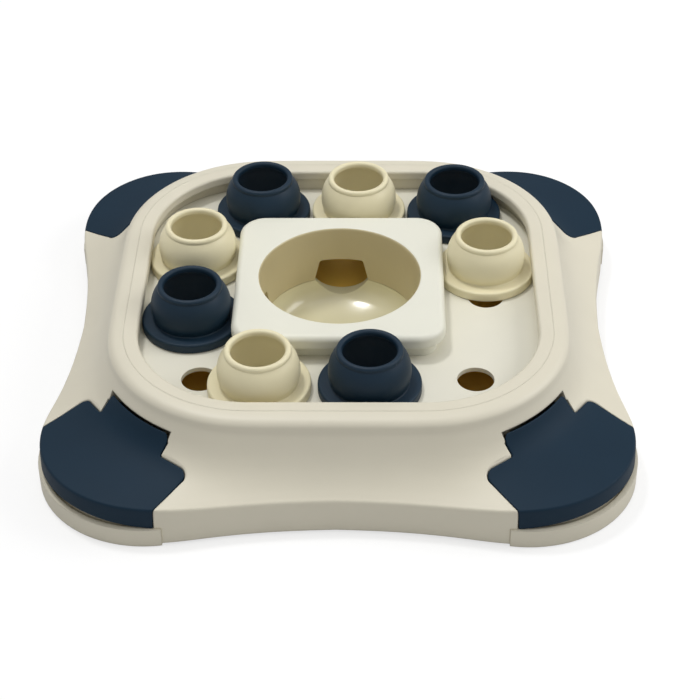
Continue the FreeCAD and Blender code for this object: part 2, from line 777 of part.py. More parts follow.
def treat_funnel():
    seam = number("seam_height") - number("sliding_gap")
    radius, wall = number("bowl_foot_radius"), number("funnel_wall")
    start, slope = number("funnel_start"), number("funnel_slope")
    half, corner = number("funnel_half"), TRACK_CORNER - 3.4
    far = half * 1.35
    rim = radius + number("bowl_wall")
    depth = number("dish_depth")

    def spun(corners, arcs=()):
        """Solid turned about the upright axis from straight runs and arcs in the XZ plane."""
        lines = [Part.makeLine(first, second) for first, second in zip(corners, corners[1:])]
        wire = Part.Wire(Part.__sortEdges__(lines + list(arcs)))
        return Part.Face(wire).revolve(point(0, 0, 0), UP, 360)

    side = number("dish_side_radius")
    flat = number("dish_flat")
    reach = radius - side - flat
    rise = (reach**2 - (depth - side) ** 2) / (2 * (depth - side))
    lean = math.atan2(rise, reach)

    def on_dish(middle_x, middle_z, arc_radius, angle):
        return point(middle_x + arc_radius * math.cos(angle), 0, middle_z - arc_radius * math.sin(angle))

    low_middle = (math.pi / 2 + lean) / 2
    dish_foot = point(flat, 0, seam - depth)
    touch = on_dish(radius - side, seam, side, lean)
    dish_arcs = [Part.Arc(dish_foot, on_dish(flat, seam + rise, rise + depth, low_middle), touch).toShape(),
                 Part.Arc(touch, on_dish(radius - side, seam, side, lean / 2), point(radius, 0, seam)).toShape()]
    under = seam - depth - wall
    dish = spun([dish_foot, point(0, 0, seam - depth), point(0, 0, under), point(0.6 * rim, 0, under),
                 point(rim, 0, start - wall), point(rim, 0, seam), point(radius, 0, seam)], dish_arcs)
    rise = (far - rim + 1.0) * slope
    floor = spun([point(rim - 1.0, 0, start - slope), point(far, 0, start - slope + rise),
                  point(far, 0, start - slope + rise - wall), point(rim - 1.0, 0, start - slope - wall),
                  point(rim - 1.0, 0, start - slope)])
    floor = floor.common(rounded_block(half, corner, 0, FLOOR))
    wall_low = start + (half - rim) * slope - wall
    edge_wall = rounded_block(half, corner, wall_low, SHELF_LOW - number("sliding_gap"))
    edge_wall = edge_wall.cut(rounded_block(half - wall, corner - wall, wall_low - 1, FLOOR))
    funnel = floor.fuse([edge_wall, dish])
    trough_radius = number("trough_radius")
    trough = Part.makeCylinder(trough_radius, rim - 20.0 + 1.5, point(20.0, 0, start + trough_radius - 1.2),
                               point(1, 0, slope / 2))
    funnel = funnel.cut(four_ways(trough))
    return funnel.removeSplitter()


# Island with the bowl

def island_bowl():
    body = new_body("island_bowl")
    seam, top = size("seam_height"), size("brim_top")
    brim_low = top - size("brim_thickness")
    core = size("path_half") - size("flange_radius") - size("track_play")
    rim_outer = size("bowl_foot_radius") + size("bowl_wall")
    sketch = new_sketch(body, "IslandWallOutline", "XY_Plane", seam)
    draw_circle(sketch, rim_outer)
    pad(body, "IslandWall", sketch, brim_low - seam)
    sketch = new_sketch(body, "IslandCoreOutline", "XY_Plane", size("floor_height"))
    draw_rounded_square(sketch, core, size("core_corner"))
    pad(body, "IslandCore", sketch, brim_low - size("floor_height"))
    sketch = new_sketch(body, "IslandBrimOutline", "XY_Plane", brim_low)
    draw_rounded_square(sketch, size("brim_half"), size("brim_corner"))
    pad(body, "IslandBrim", sketch, size("brim_thickness"))
    round_edges(body, "IslandBrimTop", size("brim_round"), level_at(top.value, number("bowl_rim_radius") + 2))
    round_edges(body, "IslandBrimUnder", size("brim_round") / 2, level_at(brim_low.value, core.value + 2))
    sketch = new_sketch(body, "IslandBowlProfile", "XZ_Plane")
    low, high = seam - 1.0, top
    draw_profile(sketch, [
        (None, low, None),
        (size("bowl_foot_radius"), low, None),
        (size("bowl_rim_radius"), high, None),
        (None, high, None),
    ])
    groove = body.newObject("PartDesign::Groove", "IslandBowl")
    groove.Profile = sketch
    groove.ReferenceAxis = (sketch, ["V_Axis"])
    groove.Angle = 360.0
    doc.recompute()
    rim_edge = level_at(top.value, number("bowl_rim_radius") - 1)
    round_edges(body, "IslandBowlEdge", size("bowl_edge_round"),
                lambda edge: rim_edge(edge) and edge.BoundBox.XMax < number("bowl_rim_radius") + 1)
    sketch = new_sketch(body, "IslandWindowOutline", "XZ_Plane")
    window_top = seam + size("window_height")
    draw_profile(sketch, [
        (negative(size("window_foot_half")), low, None),
        (size("window_foot_half"), low, None),
        (size("window_top_half"), window_top, None),
        (negative(size("window_top_half")), window_top, None),
    ])
    windows = pocket(body, "IslandWindow", sketch, True)
    repeat_round(body, "IslandWindows", [windows], 4)
    sketch = new_sketch(body, "IslandScrewHoleOutline", "XY_Plane", size("floor_height"))
    draw_circle(sketch, size("screw_radius") + size("screw_clearance"),
                size("island_screw_place"), size("island_screw_place"))
    hole = body.newObject("PartDesign::Pocket", "IslandScrewHole")
    hole.Profile = sketch
    hole.Length = 10.0
    hole.Reversed = True
    doc.recompute()
    repeat_round(body, "IslandScrewHoles", [hole], 4)
    return body


# Track floor

def track_plate():
    body = new_body("track_plate")
    half = size("path_half") + size("flange_radius") + size("track_play") - size("sliding_gap")
    corner = size("path_corner") + size("flange_radius") + size("track_play") - size("sliding_gap")
    low = size("floor_height") - size("floor_thickness")
    sketch = new_sketch(body, "PlateOutline", "XY_Plane", low)
    draw_rounded_square(sketch, half, corner)
    pad(body, "Plate", sketch, size("floor_thickness"))
    sketch = new_sketch(body, "PlateBowlHoleOutline", "XY_Plane", low)
    draw_circle(sketch, size("bowl_foot_radius") + size("bowl_wall") + size("sliding_gap"))
    pocket(body, "PlateBowlHole", sketch)
    sketch = new_sketch(body, "PlateSideHoleOutline", "XY_Plane", low)
    draw_circle(sketch, size("hole_radius"), size("path_half"), None)
    side_hole = pocket(body, "PlateSideHole", sketch)
    repeat_round(body, "PlateSideHoles", [side_hole], 4)
    corner_place = size("path_half") - size("path_corner") * (1 - math.sqrt(0.5))
    sketch = new_sketch(body, "PlateCornerHoleOutline", "XY_Plane", low)
    draw_circle(sketch, size("hole_radius"), corner_place, corner_place)
    corner_hole = pocket(body, "PlateCornerHole", sketch)
    repeat_round(body, "PlateCornerHoles", [corner_hole], 4)
    sketch = new_sketch(body, "PlateScrewHoleOutline", "XY_Plane", low)
    draw_circle(sketch, size("screw_radius") + size("sliding_gap"),
                size("island_screw_place"), size("island_screw_place"))
    screw_hole = pocket(body, "PlateScrewHole", sketch)
    repeat_round(body, "PlateScrewHoles", [screw_hole], 4)
    return body


# Retaining ring

def retaining_ring():
    body = new_body("retaining_ring")
    low = size("deck_height") - size("ring_thickness")
    gap = size("sliding_gap")
    outer = size("ring_half") - gap
    outer_corner = size("lip_corner") + size("ring_half") - size("lip_half") - gap
    sketch = new_sketch(body, "RingOutline", "XY_Plane", low)
    draw_rounded_square(sketch, outer, outer_corner)
    pad(body, "Ring", sketch, size("ring_thickness"))
    sketch = new_sketch(body, "RingOpeningOutline", "XY_Plane", low)
    draw_rounded_square(sketch, size("lip_half"), size("lip_corner"))
    pocket(body, "RingOpening", sketch)
    lip_edges = level_at(number("deck_height"), number("lip_half") - 1)
    round_edges(body, "RingLip", size("lip_round"),
                lambda edge: lip_edges(edge) and max(abs(edge.BoundBox.XMin), edge.BoundBox.XMax,
                                                     abs(edge.BoundBox.YMin),
                                                     edge.BoundBox.YMax) < number("lip_half") + 1)
    return body


# Sliders

def slider(label, x, y):
    body = new_body(label, point(x, y))
    base = size("floor_height") + size("sliding_gap")
    flange_top = base + size("flange_thickness")
    ball_height = base + size("slider_waist_height")
    ball_shift = size("slider_radius") - size("slider_ball")
    top = base + size("slider_height")
    bead = size("mouth_bead")
    bead_x = size("mouth_radius") + bead
    bead_y = top - bead

    def on_ball(radius, height):
        rise = height.value - ball_height.value
        reach = math.sqrt(radius.value**2 - rise**2)
        return Size(ball_shift.value + reach,
                    f"({ball_shift.text} + sqrt(({radius.text})^2 - ({height.text} - {ball_height.text})^2))")

    outer_ball = size("slider_ball")
    bell_low = on_ball(outer_ball, flange_top)
    bell_high = on_ball(outer_ball, bead_y)
    inner_waist = size("slider_radius") - size("slider_wall")
    inner_low = bell_low - size("slider_wall")
    bevel = size("flange_round")
    sketch = new_sketch(body, label + "_profile", "XZ_Plane")
    draw_profile(sketch, [
        (inner_low, base, None),
        (size("flange_radius"), base, None),
        (size("flange_radius"), flange_top - bevel, None),
        (size("flange_radius") - bevel, flange_top, None),
        (bell_low, flange_top, (ball_shift, ball_height, outer_ball, True)),
        (bell_high, bead_y, None),
        (bead_x + bead, bead_y, (bead_x, bead_y, bead, True)),
        (bead_x, top, None),
        (size("mouth_radius"), bead_y, None),
        (size("mouth_radius"), bead_y - bead, None),
        (inner_waist, ball_height, None),
        (inner_low, flange_top, None),
    ])
    revolve(body, label + "_bell", sketch)
    return body


def on_path(side, along, drift=0.0):
    """Place on the track: side 0 back, 1 right, 2 front, 3 left; along runs towards +X or +Y."""
    across = number("path_half") + drift
    return {0: (along, across), 1: (across, along), 2: (along, -across), 3: (-across, along)}[side]


CORNER_ANGLE = math.radians(63.1)
SLIDER_PLACES = {
    "slider_back_left": on_path(0, -44.0),
    "slider_back_middle": on_path(0, 9.3),
    "slider_back_right": (PATH_TURN + number("path_corner") * math.cos(CORNER_ANGLE),
                          PATH_TURN + number("path_corner") * math.sin(CORNER_ANGLE)),
    "slider_right": on_path(1, 21.3, 0.6),
    "slider_front_right": on_path(2, 16.2),
    "slider_front_left": on_path(2, -38.9),
    "slider_left_front": on_path(3, -23.1, -0.6),
    "slider_left_back": on_path(3, 30.8),
}


# Feet and screws

def foot(label, x, y):
    feature = doc.addObject("Part::Cylinder", label)
    feature.setExpression("Radius", "Sizes.foot_radius")
    feature.setExpression("Height", "Sizes.foot_height")
    feature.Placement = FreeCAD.Placement(point(x, y), FreeCAD.Rotation())
    return keep(feature, label)


def screw_group(label, places, head_top, shank):
    """Pan-head screws pointing up, one solid each, as one group."""
    screws = []
    for place in places:
        head = Part.makeCylinder(number("screw_head_radius"), number("screw_head_height"),
                                 place + point(0, 0, head_top - number("screw_head_height")))
        stem = Part.makeCylinder(number("screw_radius"), shank, place + point(0, 0, head_top))
        screws.append(head.fuse(stem).removeSplitter())
    return keep_shape(label, Part.makeCompound(screws))


# Assembly

form = housing_solid(number("skirt_lift"))
keep_shape("upper_body", upper_body(form))
keep_shape("base_tray", base_tray())
keep_shape("treat_funnel", treat_funnel())
track_plate()
island_bowl()
retaining_ring()

lid = lid_solid(form)
for label, turn in (("lid_back_right", 0), ("lid_back_left", 90), ("lid_front_left", 180), ("lid_front_right", 270)):
    keep_shape(label, lid, turn)

for label, (x, y) in SLIDER_PLACES.items():
    slider(label, x, y)

spot = number("foot_place")
for label, x, y in (("foot_back_right", spot, spot), ("foot_back_left", -spot, spot),
                    ("foot_front_left", -spot, -spot), ("foot_front_right", spot, -spot)):
    foot(label, x, y)

screw_group("body_screws", screw_places(), number("cup_height") - 2.7, 12.0)
spot = number("island_screw_place")
island_places = [point(x, y) for x in (spot, -spot) for y in (spot, -spot)]
screw_group("island_screws", island_places, PLATE_LOW, 10.0)

doc.recompute()

# Every object is checked before anything is written

for item in doc.Objects:
    if "Invalid" in item.State or "Error" in item.State:
        raise RuntimeError(f"{item.Label} failed: {item.State}")
for piece in PIECES:
    if piece.Shape.isNull() or not piece.Shape.isValid():
        raise RuntimeError(f"{piece.Label} has no valid shape")

os.makedirs("parts", exist_ok=True)
for piece in PIECES:
    piece.Shape.exportStep(f"parts/{piece.Label}.step")
    print(piece.Label, len(piece.Shape.Solids), "solids, volume", round(piece.Shape.Volume))
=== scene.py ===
import math

import bpy
import numpy as np
from mathutils import Matrix, Vector
from mathutils.bvhtree import BVHTree


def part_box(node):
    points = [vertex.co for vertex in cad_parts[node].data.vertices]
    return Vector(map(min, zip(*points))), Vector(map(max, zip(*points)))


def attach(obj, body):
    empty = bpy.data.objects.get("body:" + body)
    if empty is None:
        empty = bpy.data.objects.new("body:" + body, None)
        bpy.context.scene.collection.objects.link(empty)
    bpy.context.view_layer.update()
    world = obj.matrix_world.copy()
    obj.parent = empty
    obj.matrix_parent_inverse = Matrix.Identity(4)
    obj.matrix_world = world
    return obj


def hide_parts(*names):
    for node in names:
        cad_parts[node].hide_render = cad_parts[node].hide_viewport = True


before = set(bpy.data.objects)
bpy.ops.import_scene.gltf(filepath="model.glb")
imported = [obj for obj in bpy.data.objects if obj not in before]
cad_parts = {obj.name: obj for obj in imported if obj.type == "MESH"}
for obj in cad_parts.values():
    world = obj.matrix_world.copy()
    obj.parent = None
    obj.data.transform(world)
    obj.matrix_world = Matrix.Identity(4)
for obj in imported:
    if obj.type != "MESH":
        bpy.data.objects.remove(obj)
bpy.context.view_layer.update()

bl_info = {
    "name": "Dog puzzle feeder",
    "version": (1, 0, 0),
    "blender": (4, 5, 0),
    "location": "View3D > Sidebar > Feeder",
    "description": "Surfaces and finishes of a treat puzzle with cup sliders in a square track",
    "category": "Add Mesh",
}

MM = 0.001

# Sizes in millimetres, as the solids have them unless a comment says otherwise.
# Housing in plan: lobes round the corners, hollow sides, and a rounded square as its shoulder
LOBE_CENTRE, LOBE_RADIUS, SIDE_HALF = 93.0, 57.0, 138.6
SHOULDER_HALF, SHOULDER_CORNER = 117.5, 74.0
SHOULDER_TURN = SHOULDER_HALF - SHOULDER_CORNER
# Housing in section: heights of the deck, skirt's foot, ledge under the lids, and ridge above the skirt
DECK, SKIRT_LIFT, LEDGE = 52.0, 1.6, 11.0
RIDGE_SIDE, RIDGE_CORNER = 19.0, 24.0
FLANK_FOOT, FLANK_RISE, FLANK_REACH = 30.1, 16.5, 7.0
# The rise starts this far out, and this power shapes how it dies away
RISE_START, RISE_POWER = 0.6, 1.3
# Poles of the round shoulder: distance out from the shoulder's outline and drop below the deck
SHOULDER_POLES = ((-8.0, 0.0), (-5.0, 0.25), (-2.0, 0.9), (0.2, 2.6), (0.9, 4.8))
# Poles along the flank, as shares of the way from its start to its end short of the ridge
FLANK_STEPS, FLANK_START, FLANK_END = (0.0, 0.06, 0.14, 0.26, 0.45, 0.72, 1.0), 1.5, 2.2
CREASE = 83.7
WALL, CAVITY_STEP, CAVITY_LOW, CAVITY_HIGH = 2.8, 12.0, 15.6, 20.4
WELL_HALF, WELL_CORNER = 112.0, 68.5
RING_HALF, RING_LOW, RING_CORNER = 109.5, 47.0, 66.5
TRACK_HALF, TRACK_CORNER = 104.2, 54.0
PLATE_LOW, SHELF_LOW, SHELF_WIDTH = 36.5, 33.5, 5.9
LIP_HALF, LIP_CORNER = 102.0, 59.0
SLIDING_GAP, FLOOR_HEIGHT, SEAM_HEIGHT = 0.3, 39.0, 22.5
# Lid outline: pairs are reach out along the corner's diagonal and distance to the side of it
LID_RADIUS, LID_END_NEAR = 55.5, 87.7
LID_END_FAR = LOBE_CENTRE + math.sqrt(LID_RADIUS**2 - (LOBE_CENTRE - LID_END_NEAR) ** 2)
LOBE_TIP, NOTCH, TOOTH_SIDE, LID_SEAM_STEP = (140.7, 39.6), (144.6, 22.8), 21.9, 4.3
TIP_ROUND, NOTCH_ROUND, TOOTH_ROUND, LEAST_ROUND = 4.0, 1.4, 2.0, 0.3
LID_SKIN, LID_WALL, LID_DEPTH, LID_LIFT, NOSE_GAP = 2.4, 2.0, 7.0, 0.3, 3.6
HINGE_REACH, HINGE_HEIGHT, PIN_RADIUS, PIN_START, PIN_END = 139.0, 31.8, 1.4, 20.9, 26.4
LID_INNER_HEIGHT, SWING_CLEARANCE = 40.4, 0.12
# In the scene only: how much wider each lid is, and the rounding of its edge and of its cut-out's edge
LID_LAP, LID_EDGE, HOLE_EDGE = 0.25, 0.7, 0.9
# Helper solids reach up to SKY_HIGH, down below the floor and past the toy's edge
SKY_HIGH, BELOW_FLOOR, PAST_EDGE = 60.0, -6.0, 200.0
# Island and bowl
ISLAND_HALF, ISLAND_CORNER, ISLAND_TOP, BRIM_THICK = 54.8, 14.0, 54.0, 8.0
CORE_HALF, CORE_CORNER = 50.2, 8.0
BOWL_RIM, BOWL_FOOT, BOWL_OUTSIDE = 42.2, 40.9, 43.3
WINDOW_HIGH, WINDOW_WIDE, WINDOW_NARROW, WINDOW_ROUND = 11.8, 14.8, 11.8, 1.6
# Dish and funnel
DISH_DEPTH, DISH_SIDE, DISH_FLAT, FUNNEL_WALL = 17.0, 12.0, 4.0, 2.0
FUNNEL_START, FUNNEL_SLOPE, FUNNEL_HALF, FUNNEL_CORNER, CHANNEL_RADIUS = 13.5, 0.14, 101.0, 50.6, 16.3
# Cup sliders: flange, ball of the bell, mouth and the bead round it
FLANGE_RADIUS, FLANGE_THICK, BALL_RADIUS, BALL_SHIFT, BALL_HEIGHT = 26.0, 5.0, 17.0, 3.8, 12.2
CUP_HEIGHT, CUP_BORE, MOUTH_RADIUS, MOUTH_BEAD = 25.6, 16.5, 13.6, 1.6
# Studio lamps: name, place in metres, width in metres, watts
LAMPS = (("key", (-0.355, 0.282, 1.48), 0.2, 6.5), ("top", (0.1, 0.1, 1.6), 1.2, 4.0),
         ("right", (1.3, 0.1, 1.0), 0.8, 8.0))
SKY = 0.45
# The floor's own light, seen by the camera alone, and its share in the mix
FLOOR_GLOW, GLOW_SHARE = 1.45, 0.45
FLOOR_HALF, FLOOR_THICK = 3000.0, 10.0
# Camera: the point that it looks at and its distance, its bearing, elevation and roll in degrees,
# and its focal length as a share of the picture's width
CAMERA_TARGET, CAMERA_DISTANCE = (5.07, -3.92, 6.28), 1017.2
CAMERA_BEARING, CAMERA_ELEVATION, CAMERA_ROLL = 1.13, 38.16, -0.66
CAMERA_FOCUS, SENSOR_WIDTH = 1883.2 / 700, 36.0
NAVY_SLIDERS = ("slider_back_left", "slider_back_right", "slider_front_right", "slider_left_front")
CREAM_SLIDERS = ("slider_back_middle", "slider_right", "slider_front_left", "slider_left_back")
LIDS = ("lid_back_right", "lid_back_left", "lid_front_left", "lid_front_right")
FEET = ("foot_back_right", "foot_back_left", "foot_front_left", "foot_front_right")


# Meshes from arrays

def put_mesh(name, points, quads, smooth_angle=32.0):
    """Object from an array of points in millimetres and an array of faces of equal length;
    edges whose faces turn by more than the angle stay sharp."""
    mesh = bpy.data.meshes.new(name)
    mesh.vertices.add(len(points))
    mesh.vertices.foreach_set("co", (np.asarray(points, float) * MM).ravel())
    count, width = quads.shape
    mesh.loops.add(count * width)
    mesh.loops.foreach_set("vertex_index", quads.ravel().astype(np.int32))
    mesh.polygons.add(count)
    mesh.polygons.foreach_set("loop_start", np.arange(0, count * width, width, dtype=np.int32))
    mesh.update(calc_edges=True)
    mesh.validate()
    obj = bpy.data.objects.new(name, mesh)
    bpy.context.scene.collection.objects.link(obj)
    smooth(mesh, smooth_angle)
    return obj


def smooth(mesh, angle):
    """Smooth shading, with edges sharper than the angle kept."""
    mesh.polygons.foreach_set("use_smooth", np.ones(len(mesh.polygons), bool))
    mesh.set_sharp_from_angle(angle=math.radians(angle))


def grid_faces(rows, columns, wrap_rows, wrap_columns):
    """Quads of a grid of rows by columns, joined round where asked."""
    row = np.arange(rows if wrap_rows else rows - 1)[:, None]
    column = np.arange(columns if wrap_columns else columns - 1)[None, :]
    next_row, next_column = (row + 1) % rows, (column + 1) % columns
    corners = [row * columns + column, row * columns + next_column,
               next_row * columns + next_column, next_row * columns + column]
    return np.stack([np.broadcast_to(c, (row.size, column.size)) for c in corners], -1).reshape(-1, 4)


def capped(points, quads, rows, columns):
    """The grid closed at its first and last row by fans round a middle point."""
    first, last = points[:columns].mean(0), points[-columns:].mean(0)
    points = np.vstack([points, first, last])
    step = np.arange(columns)
    after = (step + 1) % columns
    base = (rows - 1) * columns
    low = np.stack([np.full(columns, rows * columns), after, step], -1)
    high = np.stack([np.full(columns, rows * columns + 1), base + step, base + after], -1)
    tris = np.vstack([quads[:, [0, 1, 2]], quads[:, [0, 2, 3]], low, high])
    return points, tris


def combine(obj, others, way):
    """Joins, cuts or keeps the common part with closed helper meshes, which are then removed."""
    for other in others:
        modifier = obj.modifiers.new("combine", "BOOLEAN")
        modifier.operation, modifier.object, modifier.solver = way, other, "MANIFOLD"
        bpy.context.view_layer.update()
        made = bpy.data.meshes.new_from_object(obj.evaluated_get(bpy.context.evaluated_depsgraph_get()))
        obj.modifiers.clear()
        if len(made.polygons) == 0:
            raise RuntimeError(f"{obj.name}: {way} with {other.name} leaves nothing")
        obj.data = made
    for other in set(others):
        bpy.data.objects.remove(other)
    smooth(obj.data, 32.0)
    return obj


# Outlines

def rounded_square(count=48, along=24):
    """Unit data of a rounded square, as arcs round its corner centres joined by straight runs: for each
    place the point of the inner square that it is measured from, and its outward direction."""
    centres = np.array([[1, 1], [-1, 1], [-1, -1], [1, -1]], float)
    share = np.linspace(0, 1, along + 2)[1:-1, None]
    inner, angle = [], []
    for k in range(4):
        inner += [np.repeat(centres[k:k + 1], count, 0),
                  centres[k] + (centres[(k + 1) % 4] - centres[k]) * share]
        angle += [np.linspace(k, k + 1, count) * np.pi / 2, np.full(along, (k + 1) * np.pi / 2)]
    angle = np.concatenate(angle)
    return np.concatenate(inner), np.stack([np.cos(angle), np.sin(angle)], -1)


def square_rows(half, corner, offsets, heights, count=48):
    """Rounded square carried along a section: each row is the outline moved out by its offset
    along its own normals and set at its height."""
    inner, normals = rounded_square(count)
    offsets, heights = np.asarray(offsets, float), np.asarray(heights, float)
    flat = inner * (half - corner)
    xy = flat[None] + normals[None] * (corner + offsets)[:, None, None]
    z = np.broadcast_to(heights[:, None, None], xy.shape[:2] + (1,))
    return np.concatenate([xy, z], -1)


def circle_rows(like, radii, heights):
    """Circles whose points lie at the same bearings as the given outline's points."""
    bearing = np.arctan2(like[:, 1], like[:, 0])
    radii, heights = np.asarray(radii, float), np.asarray(heights, float)
    xy = radii[:, None, None] * np.stack([np.cos(bearing), np.sin(bearing)], -1)[None]
    z = np.broadcast_to(heights[:, None, None], xy.shape[:2] + (1,))
    return np.concatenate([xy, z], -1)


def closed_rows(name, rows):
    """Closed mesh over rows of points, all of equal length, with a fan over the first and the last row."""
    rows = np.asarray(rows, float)
    count, columns = rows.shape[:2]
    points, faces = capped(rows.reshape(-1, 3), grid_faces(count, columns, False, True), count, columns)
    return put_mesh(name, points, faces)


def ring_mesh(name, rows, outwards=True):
    """Mesh over rows that close on themselves both ways, as a ring with a closed section does."""
    faces = grid_faces(len(rows), rows.shape[1], True, True)
    return put_mesh(name, rows.reshape(-1, 3), faces[:, ::-1] if outwards else faces)


def at_height(outline, height):
    """Plan points set at one height, or at one height each."""
    return np.c_[outline, np.broadcast_to(height, len(outline))]


def prism(name, outline, low, high):
    """Closed prism over a plan outline between two heights."""
    return closed_rows(name, [at_height(outline, low), at_height(outline, high)])


# The housing's form

def side_arc_radius():
    """Radius of the hollow arc of a side: it stands SIDE_HALF out in the middle and touches the circles of
    the two lobes beside it."""
    step = SIDE_HALF - LOBE_CENTRE
    return (LOBE_CENTRE**2 + step**2 - LOBE_RADIUS**2) / (2 * (LOBE_RADIUS - step))


def skirt_distance(angle):
    """Distance from the shoulder corner's centre to the skirt along each bearing from 0 to 90 degrees:
    to the lobe's circle, or past its end to the hollow arc of the side."""
    lean = np.where(angle < np.pi / 4, np.pi / 2 - angle, angle)
    along, across = np.cos(lean), np.sin(lean)
    arc = side_arc_radius()
    spread = math.atan2(LOBE_CENTRE, SIDE_HALF + arc - LOBE_CENTRE)
    touch = LOBE_CENTRE - LOBE_RADIUS * math.sin(spread)
    offset = SHOULDER_TURN - LOBE_CENTRE
    shift = offset * (along + across)
    lobe = -shift + np.sqrt(shift**2 - 2 * offset**2 + LOBE_RADIUS**2)
    back, up = -SHOULDER_TURN, SIDE_HALF + arc - SHOULDER_TURN
    shift = back * along + up * across
    side = shift - np.sqrt(shift**2 - back**2 - up**2 + arc**2)
    return np.where(SHOULDER_TURN + lobe * along >= touch, lobe, side)


def flank_net(span, low):
    """Section poles (distance out from the shoulder, height) for an array of spans: level deck, round
    shoulder, straight fall plus a rise that dies away as a stretched exponential, ridge and skirt."""
    side_span = SIDE_HALF - SHOULDER_HALF
    corner_span = float(skirt_distance(np.array([np.pi / 4]))[0]) - SHOULDER_CORNER
    share = np.clip((span - side_span) / (corner_span - side_span), 0, 1)
    share = share**2 * (3 - 2 * share)
    ridge = RIDGE_SIDE + (RIDGE_CORNER - RIDGE_SIDE) * share

    def extra(out):
        """What the stretched exponential adds to the straight fall."""
        return FLANK_RISE * np.exp(-(np.maximum(out - RISE_START, 0) / FLANK_REACH) ** RISE_POWER)

    def flank(out):
        """Height of the flank at a distance out from the shoulder."""
        return FLANK_FOOT + (ridge - extra(span) - FLANK_FOOT) * out / span + extra(out)

    same = np.ones_like(span)
    rows = [(out * same, (DECK - drop) * same) for out, drop in SHOULDER_POLES]
    for step in FLANK_STEPS:
        out = FLANK_START + (span - FLANK_END - FLANK_START) * step
        rows.append((out, flank(out)))
    # round the ridge, then down the skirt, which leans out by half a millimetre
    rows += [(span - 0.3, flank(span - 0.6)), (span, ridge - 2.6),
             (span + 0.3, ridge / 2), (span + 0.5, low * same)]
    return np.stack([np.stack(row, -1) for row in rows], 1)


def spline_weights(count, degree, samples):
    """Weights of a clamped even spline's poles at each sample, by the Cox-de Boor recurrence."""
    knots = np.concatenate([np.zeros(degree), np.linspace(0, 1, count - degree + 1), np.ones(degree)])
    t = np.minimum(samples, 1 - 1e-9)[:, None]
    basis = ((t >= knots[:-1]) & (t < knots[1:])).astype(float)
    for k in range(1, degree + 1):
        left, right = knots[k:-1] - knots[:-k - 1], knots[k + 1:] - knots[1:-k]
        rise = (t - knots[:-k - 1]) / np.where(left > 0, left, 1) * (left > 0)
        fall = (knots[k + 1:] - t) / np.where(right > 0, right, 1) * (right > 0)
        basis = rise * basis[:, :-1] + fall * basis[:, 1:]
    return basis


def housing_rows(low, around=96, down=90):
    """The moulded form as rows from the deck down to the skirt: a spline surface over rays that leave
    the shoulder's rounded square at right angles, worked out for one corner and turned four times."""
    side_x = SHOULDER_TURN * np.arange(2) / 2
    arc = side_arc_radius()
    side_span = SIDE_HALF + arc - np.sqrt(arc**2 - side_x**2) - SHOULDER_HALF
    angle = np.radians(90 - 11.25 * np.arange(9))
    corner_span = skirt_distance(angle) - SHOULDER_CORNER
    near = flank_net(side_span, low)
    bend = flank_net(corner_span, low)
    first = np.stack([np.broadcast_to(side_x[:, None], near.shape[:2]), SHOULDER_HALF + near[..., 0],
                      near[..., 1]], -1)
    out = SHOULDER_CORNER + bend[..., 0]
    middle = np.stack([SHOULDER_TURN + out * np.cos(angle)[:, None],
                       SHOULDER_TURN + out * np.sin(angle)[:, None], bend[..., 1]], -1)
    last = first[::-1][..., [1, 0, 2]]
    net = np.concatenate([first, middle, last])
    across = spline_weights(net.shape[0], 3, np.linspace(0, 1, around, endpoint=False))
    along = spline_weights(net.shape[1], 2, np.linspace(0, 1, down))
    patch = np.einsum("ui,vj,ijk->vuk", across, along, net)
    turned = [patch.reshape(-1, 3) @ np.array([[c, s, 0], [-s, c, 0], [0, 0, 1]], float)
              for c, s in ((1, 0), (0, -1), (-1, 0), (0, 1))]
    return np.concatenate([t.reshape(patch.shape) for t in turned], 1)[:, ::-1]


def form_block(name, drop=0.0):
    """The whole form as one closed solid that goes below the floor, lowered by drop."""
    return closed_rows(name, housing_rows(-5.0 + drop)[::-1] - np.array([0, 0, drop]))


# The lid's outline

def meet_lines(point_a, way_a, point_b, way_b):
    """Where two straight lines meet."""
    solve = np.linalg.solve(np.stack([way_a, -way_b], -1), point_b - point_a)
    return point_a + way_a * solve[0]


def meet_circle(start, way, centre, radius, far):
    """Where a line meets a circle, at its farther or nearer crossing."""
    shift = start - centre
    half = way @ shift
    root = math.sqrt(half**2 - shift @ shift + radius**2)
    return start + way * (-half + (root if far else -root))


def rounded(before, corner, after, radius, count=10):
    """Points of the arc that rounds a corner."""
    to_before, to_after = before - corner, after - corner
    to_before, to_after = to_before / np.linalg.norm(to_before), to_after / np.linalg.norm(to_after)
    half = math.acos(np.clip(to_before @ to_after, -1, 1)) / 2
    bisector = to_before + to_after
    centre = corner + bisector / np.linalg.norm(bisector) * radius / math.sin(half)
    start, stop = corner + to_before * radius / math.tan(half), corner + to_after * radius / math.tan(half)
    first = math.atan2(*(start - centre)[::-1])
    turn = (math.atan2(*(stop - centre)[::-1]) - first + math.pi) % (2 * math.pi) - math.pi
    angle = first + turn * np.linspace(0, 1, count)
    return centre + radius * np.stack([np.cos(angle), np.sin(angle)], -1)


